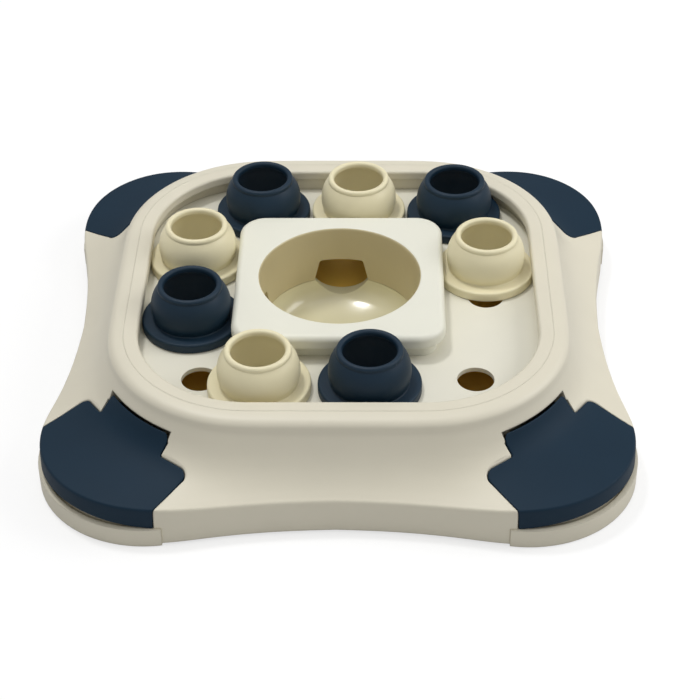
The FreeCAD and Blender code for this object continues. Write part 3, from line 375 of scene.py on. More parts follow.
def lid_outline(inset=0.0):
    """Plan outline of the lid in the +X +Y corner, moved inwards by inset: the outer arc, lobe tip, notch,
    tooth and inner arc of one half, then the same mirrored in the diagonal."""
    root = math.sqrt(0.5)
    outer_centre, inner_centre = np.array([LOBE_CENTRE / root, 0]), np.array([SHOULDER_TURN / root, 0])
    outer, inner = LID_RADIUS - inset, SHOULDER_CORNER + LID_SEAM_STEP + inset
    end = np.array([LID_END_FAR + LID_END_NEAR, LID_END_FAR - LID_END_NEAR]) * root
    lobe, notch = np.array(LOBE_TIP), np.array(NOTCH)
    seam = SHOULDER_CORNER + LID_SEAM_STEP
    tooth = np.array([SHOULDER_TURN / root + math.sqrt(seam**2 - TOOTH_SIDE**2), TOOTH_SIDE])
    lines = []
    for start, stop in ((end, lobe), (lobe, notch), (notch, tooth)):
        way = (stop - start) / np.linalg.norm(stop - start)
        lines.append((start + inset * np.array([-way[1], way[0]]), way))
    new_end = meet_circle(lines[0][0], -lines[0][1], outer_centre, outer, True)
    new_lobe = meet_lines(*lines[0], *lines[1])
    new_notch = meet_lines(*lines[1], *lines[2])
    new_tooth = meet_circle(lines[2][0], lines[2][1], inner_centre, inner, False)
    inward = np.array([(new_tooth - inner_centre)[1], -(new_tooth - inner_centre)[0]])
    lobe_arc = rounded(new_end, new_lobe, new_notch, max(TIP_ROUND - inset, LEAST_ROUND))
    notch_arc = rounded(new_lobe, new_notch, new_tooth, max(NOTCH_ROUND + inset, LEAST_ROUND))
    tooth_arc = rounded(new_notch, new_tooth, new_tooth + inward, max(TOOTH_ROUND - inset, LEAST_ROUND))
    limit = math.atan2(new_end[1], new_end[0] - outer_centre[0])
    angle = np.linspace(0, limit, 60)
    outer_arc = outer_centre + outer * np.stack([np.cos(angle), np.sin(angle)], -1)
    limit = math.atan2(tooth_arc[-1][1], tooth_arc[-1][0] - inner_centre[0])
    angle = np.linspace(limit, 0, 40)[1:]
    inner_arc = inner_centre + inner * np.stack([np.cos(angle), np.sin(angle)], -1)
    half = np.concatenate([outer_arc, lobe_arc, notch_arc, tooth_arc, inner_arc])
    whole = np.concatenate([half, half[-2:0:-1] * [1, -1]])
    return np.stack([(whole[:, 0] - whole[:, 1]) * root, (whole[:, 0] + whole[:, 1]) * root], -1)


def edge_prism(name, low, inset, radius, way, steps=6):
    """Prism over the lid's outline with a quarter round where its wall meets the housing's surface. At each
    angle of the round the outline has moved by radius * (1 - cos), inwards (way 1) or outwards (way -1), and
    lies radius * (1 - sin) below the surface. Past the ridge, where no surface lies above the skirt, the
    ridge's height stands in for it."""
    proud, ridge = 0.02, RIDGE_CORNER - 1.0
    form = form_block("surface")
    bpy.context.view_layer.update()
    tree = BVHTree.FromObject(form, bpy.context.evaluated_depsgraph_get())
    rows = [at_height(lid_outline(inset), low)]
    for angle in np.linspace(0, math.pi / 2, steps):
        outline = lid_outline(inset + way * radius * (1 - math.cos(angle)))
        above = []
        for x, y in outline * MM:
            hit = tree.ray_cast(Vector((x, y, SKY_HIGH * MM)), Vector((0, 0, -1)))[0]
            above.append(max(hit.z / MM if hit else 0, ridge))
        rows.append(at_height(outline, np.array(above) + proud - radius * (1 - math.sin(angle))))
    rows.append(at_height(outline, SKY_HIGH))
    bpy.data.objects.remove(form)
    return closed_rows(name, rows)


def turned_copy(obj, name, quarter):
    """A copy turned by quarter turns about the middle, with the turn put into its mesh."""
    copy = bpy.data.objects.new(name, obj.data.copy())
    bpy.context.scene.collection.objects.link(copy)
    copy.data.transform(Matrix.Rotation(quarter * math.pi / 2, 4, "Z"))
    return copy


def hinge_bar(name, radius, sides, count=40):
    """Solid of revolution on the hinge line of the +X +Y corner: one radius, or one for each of the
    distances to the side of the diagonal."""
    root = math.sqrt(0.5)
    angle = np.linspace(0, 2 * math.pi, count, endpoint=False)
    side = np.asarray(sides, float)[:, None]
    radius = np.broadcast_to(radius, len(side))[:, None]
    reach, height = HINGE_REACH + radius * np.cos(angle), HINGE_HEIGHT - radius * np.sin(angle)
    return closed_rows(name, np.stack([(reach - side) * root, (reach + side) * root, height], -1))


def swing_room(gap):
    """Room that the lid's inner edge sweeps: its radius is the distance from the hinge line to that curved
    edge."""
    sides = np.linspace(-TOOTH_SIDE - gap, TOOTH_SIDE + gap, 25)
    seam = SHOULDER_CORNER + LID_SEAM_STEP - LID_LAP
    reach = SHOULDER_TURN * math.sqrt(2) + np.sqrt(seam**2 - sides**2)
    radius = np.hypot(reach - HINGE_REACH, LID_INNER_HEIGHT + LID_LAP - HINGE_HEIGHT) + SWING_CLEARANCE
    return hinge_bar("swing", radius, sides, 96)


def block(name, low, high):
    """Closed box between two corners."""
    (x0, y0, z0), (x1, y1, z1) = low, high
    return prism(name, np.array([[x0, y0], [x1, y0], [x1, y1], [x0, y1]], float), z0, z1)


def circle(radius, count):
    """Plan points of a circle round the middle."""
    angle = np.linspace(0, 2 * math.pi, count, endpoint=False)
    return radius * np.stack([np.cos(angle), np.sin(angle)], -1)


def cut_four_ways(obj, sections):
    """Cuts the same closed shape through a piece on its four sides. Each section is a distance out along X
    with the outline (across, height) that the shape has there."""
    for quarter in range(4):
        rows = [np.c_[np.full(len(outline), out), outline] for out, outline in sections]
        cutter = closed_rows("cutter", rows)
        cutter.data.transform(Matrix.Rotation(quarter * math.pi / 2, 4, "Z"))
        combine(obj, [cutter], "DIFFERENCE")


# Finishes

def linear(code):
    """sRGB hex text to linear colour with full alpha."""
    parts = [int(code[i:i + 2], 16) / 255 for i in (0, 2, 4)]
    return [c / 12.92 if c <= 0.04045 else ((c + 0.055) / 1.055) ** 2.4 for c in parts] + [1.0]


def node(tree, kind, settings=None, links=None):
    """Adds a node with its settings (sockets or properties by name) and its incoming links."""
    made = tree.nodes.new(kind)
    for key, value in (settings or {}).items():
        if isinstance(key, int) or key in made.inputs:
            made.inputs[key].default_value = value
        else:
            setattr(made, key, value)
    for key, source in (links or {}).items():
        tree.links.new(source, made.inputs[key])
    return made


def moulded_plastic(name, base, roughness, grain_mm, grain_depth, mottle, edge_mm, coat=0.0, sheen=0.5):
    """Injection moulded ABS: a spark-eroded mould leaves a fine even grain, so the highlight is broad and
    soft, the colour shifts very slightly where the melt cooled at different speeds, and edges are never
    quite sharp. The grain's size and depth and the edge's rounding are in millimetres."""
    material = bpy.data.materials.new(name)
    material.use_nodes = True
    tree = material.node_tree
    tree.nodes.clear()
    place = node(tree, "ShaderNodeTexCoord").outputs["Object"]
    flow_mm = 22
    flow = node(tree, "ShaderNodeTexNoise", {"Scale": 1 / (flow_mm * MM), "Detail": 2.0, "Roughness": 0.5},
                {"Vector": place})
    fade = node(tree, "ShaderNodeMapRange",
                {"From Min": 0.3, "From Max": 0.7, "To Min": 1 - mottle, "To Max": 1 + mottle},
                {"Value": flow.outputs["Fac"]})
    tint = node(tree, "ShaderNodeHueSaturation", {"Color": tuple(base)}, {"Value": fade.outputs["Result"]})
    grain = node(tree, "ShaderNodeTexNoise", {"Scale": 1 / (grain_mm * MM), "Detail": 3.0, "Roughness": 0.6},
                 {"Vector": place})
    wear = 0.05
    gloss = node(tree, "ShaderNodeMapRange", {"To Min": roughness - wear, "To Max": roughness + wear},
                 {"Value": grain.outputs["Fac"]})
    edge = node(tree, "ShaderNodeBevel", {"samples": 6, "Radius": edge_mm * MM})
    bump = node(tree, "ShaderNodeBump", {"Strength": 1.0, "Distance": grain_depth * MM},
                {"Height": grain.outputs["Fac"], "Normal": edge.outputs["Normal"]})
    shader = node(tree, "ShaderNodeBsdfPrincipled",
                  {"IOR": 1.53, "Specular IOR Level": sheen, "Coat Weight": coat, "Coat Roughness": 0.12},
                  {"Base Color": tint.outputs["Color"], "Roughness": gloss.outputs["Result"],
                   "Normal": bump.outputs["Normal"]})
    node(tree, "ShaderNodeOutputMaterial", {}, {"Surface": shader.outputs["BSDF"]})
    return material


def finish_of(kind):
    """One shared material for each finish, coloured from the panel's settings. Each recipe holds colour,
    roughness, grain size, grain depth, mottle, edge rounding, coat and, where it is not 0.5, sheen."""
    colours = bpy.context.scene.feeder_colours
    recipes = {
        # warm ivory ABS from a grained mould: broad soft sheen
        "ivory_abs_grained": (colours.ivory, 0.46, 0.7, 0.012, 0.010, 1.0, 0.0),
        # the same ABS from a smoother mould on the island: a little cooler and cleaner
        "ivory_abs_satin": (colours.island, 0.40, 0.7, 0.008, 0.008, 0.6, 0.0),
        # the track floor, deeper ivory, scuffed slightly by the sliders
        "ivory_abs_floor": (colours.floor, 0.42, 0.7, 0.010, 0.014, 0.3, 0.0),
        # polished mould face in the dish: clear sharp highlights
        "ivory_abs_polished": (colours.dish, 0.22, 0.9, 0.003, 0.008, 0.4, 0.35),
        # dark blue ABS with coarser grain on the lids: matt, highlights spread wide
        "navy_abs_grained": (colours.navy, 0.6, 0.6, 0.016, 0.03, 0.8, 0.0, 0.2),
        # the same ABS on the sliders, worn a little smoother by noses and paws
        "navy_abs_slider": (colours.navy, 0.52, 0.6, 0.014, 0.03, 0.6, 0.0, 0.3),
        # the bowl's wall, polished; its darker, fuller ochre is painted shade and painted bounce light from
        # deep in the bowl
        "ivory_abs_bowl_painted_shade": (colours.bowl, 0.34, 0.8, 0.005, 0.008, 0.4, 0.1),
        # the funnel's floor, seen only through holes and windows: its deep ochre is painted shade and painted
        # bounce light from the ivory around it
        "ivory_abs_funnel_painted_shade": (colours.funnel, 0.45, 0.8, 0.006, 0.01, 0.4, 0.0),
        # fine grained ABS of the ivory sliders: warmer, with a soft highlight on the bead
        "ivory_abs_slider": (colours.slider, 0.42, 0.6, 0.012, 0.008, 0.5, 0.0),
        # thermoplastic rubber pads: no sheen
        "grey_rubber_moulded": (colours.rubber, 0.8, 0.8, 0.02, 0.02, 0.4, 0.0),
    }
    found = bpy.data.materials.get(kind)
    return found or moulded_plastic(kind, *recipes[kind])


def zinc_steel():
    """Zinc plated steel screws: a cool grey metal with a fine rolled lustre."""
    material = bpy.data.materials.get("zinc_plated_steel") or bpy.data.materials.new("zinc_plated_steel")
    material.use_nodes = True
    shader = material.node_tree.nodes["Principled BSDF"]
    shader.inputs["Base Color"].default_value = linear("B9BCC0")
    shader.inputs["Metallic"].default_value = 1.0
    shader.inputs["Roughness"].default_value = 0.35
    return material


def dress(obj, finish, body, nodes=()):
    """Gives a piece its finish, the body it rides on and the solids that it stands for."""
    obj.data.materials.clear()
    obj.data.materials.append(finish_of(finish) if isinstance(finish, str) else finish)
    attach(obj, body)
    if nodes:
        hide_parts(*nodes)
    return obj


def add_finish(obj, finish, where):
    """A second finish on the faces whose middles, in millimetres, the test picks."""
    mesh = obj.data
    mesh.materials.append(finish_of(finish))
    middles = np.empty(len(mesh.polygons) * 3)
    mesh.polygons.foreach_get("center", middles)
    mesh.polygons.foreach_set("material_index", where(middles.reshape(-1, 3) / MM).astype(np.int32))


def smoothed_solid(name, source):
    """A merged copy of a solid's mesh with smooth walls and sharp edges."""
    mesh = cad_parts[source].data.copy()
    mesh.name = name
    obj = bpy.data.objects.new(name, mesh)
    bpy.context.scene.collection.objects.link(obj)
    modifier = obj.modifiers.new("merge", "WELD")
    modifier.merge_threshold = 0.00001
    bpy.context.view_layer.update()
    made = bpy.data.meshes.new_from_object(obj.evaluated_get(bpy.context.evaluated_depsgraph_get()))
    obj.modifiers.clear()
    obj.data = made
    for attribute in [a.name for a in made.attributes if a.name == "custom_normal"]:
        made.attributes.remove(made.attributes[attribute])
    smooth(made, 30.0)
    return obj


# Settings

def colour(name, description, code):
    """A colour setting whose default is given as sRGB hex."""
    return bpy.props.FloatVectorProperty(name=name, description=description, subtype="COLOR", size=4,
                                         min=0.0, max=1.0, default=linear(code))


class FeederColours(bpy.types.PropertyGroup):
    """Colours of the mouldings."""
    ivory: colour("Housing", "Ivory of the housing, ring and tray", "DDD7C4")
    island: colour("Island", "Ivory of the island", "E8E7D9")
    floor: colour("Track floor", "Ivory of the track floor", "E4E1D2")
    dish: colour("Dish", "Ivory of the polished dish", "E6E0BC")
    # the bowl wall's ochre is painted shade and bounce light on the island's ivory plastic
    bowl: colour("Bowl wall", "Ochre ivory of the bowl's wall", "CBBE96")
    # the funnel's ochre is painted shade and bounce light, not the plastic's own colour
    funnel: colour("Funnel", "Ochre ivory of the floor under the track", "EEC45C")
    navy: colour("Navy", "Blue of lids and four sliders", "0D283A")
    slider: colour("Ivory sliders", "Ivory of four sliders", "E9E0BC")
    rubber: colour("Feet", "Rubber of the feet", "4A4A4A")
    stage: colour("Stage", "Pale floor", "D8D8D8")


class FeederSizes(bpy.types.PropertyGroup):
    """Small sizes that the eye reads as moulding quality."""
    lid_gap: bpy.props.FloatProperty(name="Lid gap", description="Clearance round each lid",
                                     default=0.7 * MM, unit="LENGTH", precision=4)
    lip_round: bpy.props.FloatProperty(name="Lip rounding", description="Rounding of the track's lip",
                                       default=1.6 * MM, unit="LENGTH", precision=4)
    brim_round: bpy.props.FloatProperty(name="Brim rounding", description="Rounding of the island's brim",
                                        default=3.4 * MM, unit="LENGTH", precision=4)
    bowl_edge: bpy.props.FloatProperty(name="Bowl edge", description="Rounding of the bowl's edge",
                                       default=1.2 * MM, unit="LENGTH", precision=4)


# Pieces

class FEEDER_OT_housing(bpy.types.Operator):
    """Flared housing with the track wall and the lid cut-outs"""
    bl_idname = "feeder.housing"
    bl_label = "Housing"

    def execute(self, context):
        gap = context.scene.feeder_sizes.lid_gap / MM
        outer = housing_rows(SKIRT_LIFT)

        def square(half, corner, height):
            """Rounded square row whose points follow the housing's own columns."""
            xy = outer[0][:, :2]
            core = np.clip(xy, -SHOULDER_TURN, SHOULDER_TURN)
            way = xy - core
            length = np.linalg.norm(way, axis=1, keepdims=True)
            return at_height(core * (half - corner) / SHOULDER_TURN + way / length * corner, height)

        def skirt(inset, height):
            """Row at an inset from the skirt, along the skirt's own normals."""
            foot = outer[-1][:, :2]
            way = np.roll(foot, -1, 0) - np.roll(foot, 1, 0)
            normal = np.stack([way[:, 1], -way[:, 0]], -1)
            normal /= np.linalg.norm(normal, axis=1, keepdims=True)
            sign = np.sign((normal * foot).sum(1, keepdims=True))
            return at_height(foot - sign * normal * inset, height)

        # from the skirt's foot up inside the hollow, in under the well, over the shelf and up the seats
        skirt_lean = 0.5
        thin, step = WALL + skirt_lean, CAVITY_STEP + skirt_lean
        hollow = (SHOULDER_HALF + 2 * WALL, SHOULDER_CORNER + 2 * WALL)
        well, track, ring = (WELL_HALF, WELL_CORNER), (TRACK_HALF, TRACK_CORNER), (RING_HALF, RING_CORNER)
        shelf = (TRACK_HALF - SHELF_WIDTH, TRACK_CORNER - SHELF_WIDTH)
        seat_top = DECK - 0.25
        inner = [
            skirt(thin, SKIRT_LIFT), skirt(thin, CAVITY_LOW), skirt(step, CAVITY_LOW), skirt(step, CAVITY_HIGH),
            square(*hollow, CAVITY_HIGH), square(*hollow, FLANK_FOOT), square(*well, FLANK_FOOT),
            square(*well, SHELF_LOW), square(*shelf, SHELF_LOW), square(*shelf, PLATE_LOW),
            square(*track, PLATE_LOW), square(*track, RING_LOW), square(*ring, RING_LOW),
            square(*ring, seat_top),
        ]
        body = ring_mesh("housing", np.concatenate([outer, np.array(inner)]))
        hole = edge_prism("lid_hole", LEDGE, -gap, HOLE_EDGE, -1)
        near, far, chord = LID_END_NEAR - gap, 2 * LOBE_CENTRE, 143.2
        beyond = np.array([[chord, near], [far, near], [far, far], [near, far], [near, chord]], float)
        corner = prism("corner", beyond, LEDGE, SKY_HIGH)
        lobe = block("lobe", (CREASE, CREASE, BELOW_FLOOR), (far, far, LEDGE))
        side = hinge_bar("side", 3 * PIN_RADIUS, (-NOTCH[1] - gap, NOTCH[1] + gap))
        cutters = []
        for cutter in (hole, corner, lobe, swing_room(gap), side):
            cutters += [turned_copy(cutter, f"{cutter.name}_{k}", k) for k in range(4)]
            bpy.data.objects.remove(cutter)
        combine(body, cutters, "DIFFERENCE")
        dress(body, "ivory_abs_grained", "housing", ["upper_body"])
        return {"FINISHED"}


class FEEDER_OT_lids(bpy.types.Operator):
    """Four flip-up corner lids, flush with the housing's form"""
    bl_idname = "feeder.lids"
    bl_label = "Corner lids"

    def execute(self, context):
        low, root = LEDGE + LID_LIFT, math.sqrt(0.5)
        edge = edge_prism("lid_prism", low, -LID_LAP, LID_EDGE, 1)
        lid = combine(form_block("lid"), [edge], "INTERSECT")
        inset = prism("hollow_prism", lid_outline(LID_WALL), BELOW_FLOOR, SKY_HIGH)
        hollow = combine(form_block("hollow", LID_SKIN), [inset], "INTERSECT")
        # the outer wall goes down to the ledge, and the rest is only as deep as LID_DEPTH
        core = prism("core", LOBE_CENTRE + circle(LID_RADIUS - LID_WALL, 180), BELOW_FLOOR, SKY_HIGH)
        left = block("left", (-PAST_EDGE, -PAST_EDGE, BELOW_FLOOR), (LID_END_NEAR, PAST_EDGE, SKY_HIGH))
        right = block("right", (LID_END_NEAR, -PAST_EDGE, BELOW_FLOOR), (PAST_EDGE, LID_END_NEAR, SKY_HIGH))
        below = [combine(form_block("below", LID_DEPTH), [part], "INTERSECT") for part in (core, left, right)]
        # the nose gap under the outer wall: an arch of the given rise over the lid's width
        half_width = (LID_END_FAR - LID_END_NEAR) * root
        arch = (half_width**2 + NOSE_GAP**2) / (2 * NOSE_GAP)
        side = np.linspace(-half_width - 3, half_width + 3, 60)
        height = low + NOSE_GAP - arch + np.sqrt(arch**2 - side**2)
        side, height = np.append(side[::-1], side), np.append(height[::-1], np.zeros(60))
        inside_nose = 150.0
        tunnel = closed_rows("tunnel", [np.stack([(reach - side) * root, (reach + side) * root, height], -1)
                                        for reach in (inside_nose, PAST_EDGE)])
        lid = combine(lid, [hollow] + below + [tunnel], "DIFFERENCE")
        pins = [hinge_bar(f"pin_{way}", PIN_RADIUS, sorted((way * PIN_START, way * PIN_END)), 32)
                for way in (-1, 1)]
        lid = combine(lid, pins, "UNION")
        for quarter, name in enumerate(LIDS):
            piece = turned_copy(lid, name + "_skin", quarter)
            dress(piece, "navy_abs_grained", name, [name])
        bpy.data.objects.remove(lid)
        return {"FINISHED"}


class FEEDER_OT_ring(bpy.types.Operator):
    """Retaining ring whose lip hangs over the slider flanges"""
    bl_idname = "feeder.ring"
    bl_label = "Retaining ring"

    def execute(self, context):
        radius = context.scene.feeder_sizes.lip_round / MM
        outer = RING_HALF - LIP_HALF
        turn = np.linspace(0, math.pi / 2, 9)
        offsets = np.concatenate([[0.0], radius - radius * np.cos(turn), [outer, outer]])
        heights = np.concatenate([[RING_LOW], DECK - radius + radius * np.sin(turn), [DECK, RING_LOW]])
        ring = ring_mesh("ring", square_rows(LIP_HALF, LIP_CORNER, offsets, heights, 72))
        dress(ring, "ivory_abs_grained", "housing", ["retaining_ring"])
        return {"FINISHED"}


class FEEDER_OT_island(bpy.types.Operator):
    """Island with the overhanging brim and the bowl wall with its windows"""
    bl_idname = "feeder.island"
    bl_label = "Island and bowl"

    def execute(self, context):
        sizes = context.scene.feeder_sizes
        brim, edge = sizes.brim_round / MM, sizes.bowl_edge / MM
        top, low, under = ISLAND_TOP, ISLAND_TOP - BRIM_THICK, brim / 2
        turn = np.linspace(0, math.pi / 2, 12)
        offsets = np.concatenate([-brim + brim * np.sin(turn), -under + under * np.cos(turn)])
        heights = np.concatenate([top - brim + brim * np.cos(turn), low + under - under * np.sin(turn)])
        outside = square_rows(ISLAND_HALF, ISLAND_CORNER, offsets, heights, 64)
        like = square_rows(ISLAND_HALF, ISLAND_CORNER, [0.0], [top], 64)[0]
        core = square_rows(CORE_HALF, CORE_CORNER, [0.0, 0.0], [low, FLOOR_HEIGHT], 64)
        wall = circle_rows(like, [BOWL_OUTSIDE, BOWL_OUTSIDE, BOWL_FOOT],
                           [FLOOR_HEIGHT, SEAM_HEIGHT, SEAM_HEIGHT])
        heights = SEAM_HEIGHT + (top - edge - SEAM_HEIGHT) * np.linspace(0, 1, 12)[1:]
        drafted = BOWL_FOOT + (BOWL_RIM - BOWL_FOOT) * (heights - SEAM_HEIGHT) / (top - SEAM_HEIGHT)
        inside = circle_rows(like, drafted, heights)
        lip = circle_rows(like, BOWL_RIM + edge - edge * np.cos(turn[1:]), top - edge + edge * np.sin(turn[1:]))
        island = ring_mesh("island", np.concatenate([outside, core, wall, inside, lip]))
        # treat windows: wider at the foot, with round upper corners
        high, dip = SEAM_HEIGHT + WINDOW_HIGH, 1.5
        slope = (WINDOW_WIDE - WINDOW_NARROW) / WINDOW_HIGH
        foot = np.array([WINDOW_WIDE + slope * dip, SEAM_HEIGHT - dip])
        corner = np.array([WINDOW_NARROW, high])
        shoulder = rounded(foot, corner, corner * [-1, 1], WINDOW_ROUND)
        window = np.concatenate([[foot], shoulder, shoulder[::-1] * [-1, 1], [foot * [-1, 1]]])
        cut_four_ways(island, [(out, window) for out in (30.0, 50.0)])
        dress(island, "ivory_abs_satin", "housing", ["island_bowl"])
        # faces inside the bowl get the finish with painted shade and bounce light
        add_finish(island, "ivory_abs_bowl_painted_shade", lambda place: np.hypot(place[:, 0], place[:, 1]) < BOWL_RIM + 0.6)
        return {"FINISHED"}


class FEEDER_OT_funnel(bpy.types.Operator):
    """Polished dish, and the sloping floor under the track with its channels to the windows"""
    bl_idname = "feeder.funnel"
    bl_label = "Dish and funnel"

    def execute(self, context):
        seam, depth, side, rim = SEAM_HEIGHT - SLIDING_GAP, DISH_DEPTH, DISH_SIDE, BOWL_OUTSIDE
        # dish section: a small flat, a shallow arc of height rise and a round side up to the rim
        reach = BOWL_FOOT - side - DISH_FLAT
        rise = (reach**2 - (depth - side) ** 2) / (2 * (depth - side))
        lean = math.atan2(rise, reach)
        low_turn, side_turn = np.linspace(math.pi / 2, lean, 30), np.linspace(lean, 0, 20)[1:]
        point, flat = 0.01, DISH_FLAT
        radii = np.concatenate([[point], flat + (rise + depth) * np.cos(low_turn),
                                BOWL_FOOT - side + side * np.cos(side_turn)])
        heights = np.concatenate([[seam - depth], seam + rise - (rise + depth) * np.sin(low_turn),
                                  seam - side * np.sin(side_turn)])
        outer = square_rows(FUNNEL_HALF, FUNNEL_CORNER, [0.0], [0.0], 64)[0]
        dish = circle_rows(outer, np.append(radii, [BOWL_FOOT + 0.4, rim - 0.3, rim, rim]),
                           np.append(heights, [seam, seam, seam - 0.3, FUNNEL_START]))
        # sloping floor: height grows with the distance from the rim, from the round rim to the square wall
        inset = square_rows(FUNNEL_HALF - FUNNEL_WALL, FUNNEL_CORNER - FUNNEL_WALL, [0.0], [0.0], 64)[0][:, :2]
        inner, outer = circle_rows(outer, [rim], [0.0])[0][:, :2], outer[:, :2]
        floor = []
        for share in np.linspace(0, 1, 10)[1:]:
            plan = inner + (inset - inner) * share
            floor.append(at_height(plan, FUNNEL_START + (np.linalg.norm(plan, axis=1) - rim) * FUNNEL_SLOPE))
        top, base = SHELF_LOW - SLIDING_GAP, FUNNEL_START - FUNNEL_WALL
        rims = [at_height(inset, top), at_height(outer, top),
                at_height(outer, base + (np.linalg.norm(outer, axis=1) - rim) * FUNNEL_SLOPE)]
        foot, foot_radius = seam - depth - FUNNEL_WALL, 26.0
        below = circle_rows(outer, [rim, foot_radius, point], [base, foot, foot])
        funnel = closed_rows("funnel", np.concatenate([dish, floor, rims, below])[::-1])
        # round channels from the floor through the rim to the windows
        channel, start, stop, dip = circle(CHANNEL_RADIUS, 72), 20.0, rim + 1.5, 1.2
        lift = FUNNEL_START + CHANNEL_RADIUS - dip
        cut_four_ways(funnel, [(out, channel + [0, lift + (out - start) * FUNNEL_SLOPE / 2])
                               for out in (start, stop)])
        dress(funnel, "ivory_abs_polished", "housing", ["treat_funnel"])
        # faces outside the dish get the finish with painted shade and bounce light
        add_finish(funnel, "ivory_abs_funnel_painted_shade", lambda place: np.hypot(place[:, 0], place[:, 1]) > rim)
        return {"FINISHED"}


class FEEDER_OT_sliders(bpy.types.Operator):
    """Eight bell-shaped cup sliders, ivory and navy in turn"""
    bl_idname = "feeder.sliders"
    bl_label = "Cup sliders"

    def execute(self, context):
        base = FLOOR_HEIGHT + SLIDING_GAP
        flange_top, ball_height = base + FLANGE_THICK, base + BALL_HEIGHT
        bead_height, bead_radius = base + CUP_HEIGHT - MOUTH_BEAD, MOUTH_RADIUS + MOUTH_BEAD
        foot_round, flange_round, root = 0.4, 1.1, 0.8
        turn = np.linspace(0, math.pi / 2, 9)
        first = math.asin((flange_top + root - ball_height) / BALL_RADIUS)
        last = math.asin((bead_height - 0.5 - ball_height) / BALL_RADIUS)
        bell = np.linspace(first, last, 40)
        bead = np.linspace(-math.pi / 2, math.pi, 24)
        # the section: flange, hollow root, ball of the bell, bead, and down inside the cup
        radii = np.concatenate([
            [CUP_BORE], FLANGE_RADIUS - foot_round + foot_round * np.sin(turn),
            FLANGE_RADIUS - flange_round + flange_round * np.cos(turn),
            BALL_SHIFT + BALL_RADIUS * math.cos(first) + root - root * np.sin(turn[1:-1]),
            BALL_SHIFT + BALL_RADIUS * np.cos(bell), bead_radius + MOUTH_BEAD * np.cos(bead),
            [MOUTH_RADIUS, BALL_SHIFT + 13.2, CUP_BORE + 1.7, CUP_BORE + 0.4, CUP_BORE]])
        heights = np.concatenate([
            [base], base + foot_round - foot_round * np.cos(turn),
            flange_top - flange_round + flange_round * np.sin(turn),
            flange_top + root - root * np.cos(turn[1:-1]),
            ball_height + BALL_RADIUS * np.sin(bell), bead_height + MOUTH_BEAD * np.sin(bead),
            [bead_height - 1.2, ball_height + 6.5, ball_height, flange_top, base + 0.6]])
        ring = circle(1.0, 128)
        rows = np.stack([at_height(ring * radius, height) for radius, height in zip(radii, heights)])
        for name in NAVY_SLIDERS + CREAM_SLIDERS:
            low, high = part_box(name)
            centre = np.array([(low.x + high.x) / 2, (low.y + high.y) / 2, 0.0]) / MM
            cup = ring_mesh(name + "_cup", rows + centre, outwards=False)
            finish, slot = (("navy_abs_slider", "navy") if name in NAVY_SLIDERS
                            else ("ivory_abs_slider", "cream_slider"))
            dress(cup, finish, name, [name])
        return {"FINISHED"}


class FEEDER_OT_plain_parts(bpy.types.Operator):
    """Tray, track floor, feet and screws"""
    bl_idname = "feeder.plain_parts"
    bl_label = "Tray, floor, feet and screws"

    def execute(self, context):
        tray, floor = smoothed_solid("tray", "base_tray"), smoothed_solid("floor", "track_plate")
        dress(tray, "ivory_abs_grained", "housing", ["base_tray"])
        dress(floor, "ivory_abs_floor", "housing", ["track_plate"])
        for name in FEET:
            dress(smoothed_solid(name + "_pad", name), "grey_rubber_moulded", "housing", [name])
        for name in ("body_screws", "island_screws"):
            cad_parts[name].data.materials.clear()
            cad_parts[name].data.materials.append(zinc_steel())
        return {"FINISHED"}


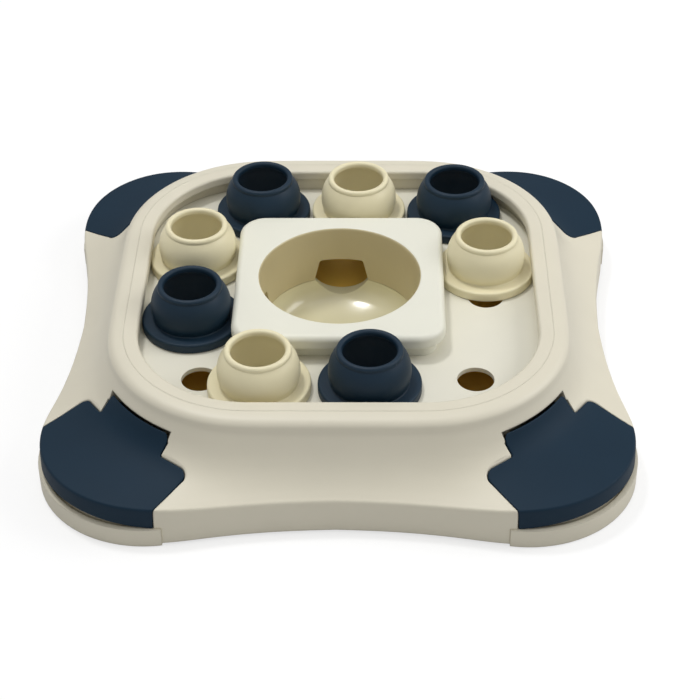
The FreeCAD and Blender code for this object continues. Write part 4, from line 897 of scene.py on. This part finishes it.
class FEEDER_OT_stage(bpy.types.Operator):
    """Pale floor, soft studio light and the camera"""
    bl_idname = "feeder.stage"
    bl_label = "Stage, light and camera"

    def execute(self, context):
        scene = context.scene
        floor = block("stage_floor", (-FLOOR_HALF, -FLOOR_HALF, -FLOOR_THICK), (FLOOR_HALF, FLOOR_HALF, 0.0))
        material = bpy.data.materials.new("pale_paper")
        material.use_nodes = True
        tree = material.node_tree
        tree.nodes.clear()
        # matt paper that takes the toy's shadow, with a glow that only the camera sees, so that it reads white
        matt = node(tree, "ShaderNodeBsdfDiffuse", {"Color": tuple(scene.feeder_colours.stage)})
        glow = node(tree, "ShaderNodeEmission", {"Color": (1, 1, 1, 1), "Strength": FLOOR_GLOW})
        path = node(tree, "ShaderNodeLightPath")
        share = node(tree, "ShaderNodeMath", {"operation": "MULTIPLY", 1: GLOW_SHARE},
                     {0: path.outputs["Is Camera Ray"]})
        mix = node(tree, "ShaderNodeMixShader", {},
                   {0: share.outputs[0], 1: matt.outputs[0], 2: glow.outputs[0]})
        node(tree, "ShaderNodeOutputMaterial", {}, {"Surface": mix.outputs[0]})
        floor.data.materials.append(material)
        world = bpy.data.worlds.new("studio")
        scene.world = world
        world.use_nodes = True
        world.node_tree.nodes["Background"].inputs["Color"].default_value = (1, 1, 1, 1)
        world.node_tree.nodes["Background"].inputs["Strength"].default_value = SKY
        for name, place, size, power in LAMPS:
            data = bpy.data.lights.new(name, "AREA")
            data.size, data.energy = size, power
            lamp = bpy.data.objects.new(name, data)
            scene.collection.objects.link(lamp)
            lamp.location = place
            lamp.rotation_euler = (Vector((0, 0, 0)) - Vector(place)).to_track_quat("-Z", "Y").to_euler()
        camera = bpy.data.objects.new("camera", bpy.data.cameras.new("camera"))
        scene.collection.objects.link(camera)
        bearing, elevation, roll = (math.radians(v) for v in (CAMERA_BEARING, CAMERA_ELEVATION, CAMERA_ROLL))
        back = Vector((math.sin(bearing) * math.cos(elevation), -math.cos(bearing) * math.cos(elevation),
                       math.sin(elevation)))
        right = (-back).cross(Vector((0, 0, 1))).normalized()
        up = right.cross(-back)
        turned_right = right * math.cos(roll) + up * math.sin(roll)
        turned_up = -right * math.sin(roll) + up * math.cos(roll)
        place = (Vector(CAMERA_TARGET) + back * CAMERA_DISTANCE) * MM
        camera.matrix_world = (Matrix.Translation(place)
                               @ Matrix((turned_right, turned_up, back)).transposed().to_4x4())
        camera.data.sensor_width = SENSOR_WIDTH
        camera.data.lens = CAMERA_FOCUS * SENSOR_WIDTH
        camera.data.clip_start, camera.data.clip_end = 0.05, 20.0
        scene.camera = camera
        scene.view_settings.view_transform = "Standard"
        return {"FINISHED"}


OPERATORS = (FEEDER_OT_housing, FEEDER_OT_lids, FEEDER_OT_ring, FEEDER_OT_island, FEEDER_OT_funnel,
             FEEDER_OT_sliders, FEEDER_OT_plain_parts, FEEDER_OT_stage)


class FEEDER_PT_panel(bpy.types.Panel):
    """Colours, small sizes and the pieces in order"""
    bl_idname = "FEEDER_PT_panel"
    bl_label = "Dog puzzle feeder"
    bl_space_type = "VIEW_3D"
    bl_region_type = "UI"
    bl_category = "Feeder"

    def draw(self, context):
        for group in (context.scene.feeder_colours, context.scene.feeder_sizes):
            for name in type(group).__annotations__:
                self.layout.prop(group, name)
        for operator in OPERATORS:
            self.layout.operator(operator.bl_idname)


CLASSES = (FeederColours, FeederSizes) + OPERATORS + (FEEDER_PT_panel,)


def register():
    """Adds the panel, the operators and their settings to Blender."""
    for one in CLASSES:
        bpy.utils.register_class(one)
    bpy.types.Scene.feeder_colours = bpy.props.PointerProperty(type=FeederColours)
    bpy.types.Scene.feeder_sizes = bpy.props.PointerProperty(type=FeederSizes)


def unregister():
    """Takes them out again."""
    del bpy.types.Scene.feeder_colours
    del bpy.types.Scene.feeder_sizes
    for one in reversed(CLASSES):
        bpy.utils.unregister_class(one)


def main():
    """Registers the panel and runs each operator in turn."""
    register()
    for operator in OPERATORS:
        group, name = operator.bl_idname.split(".")
        getattr(getattr(bpy.ops, group), name)()


if __name__ == "__main__":
    main()
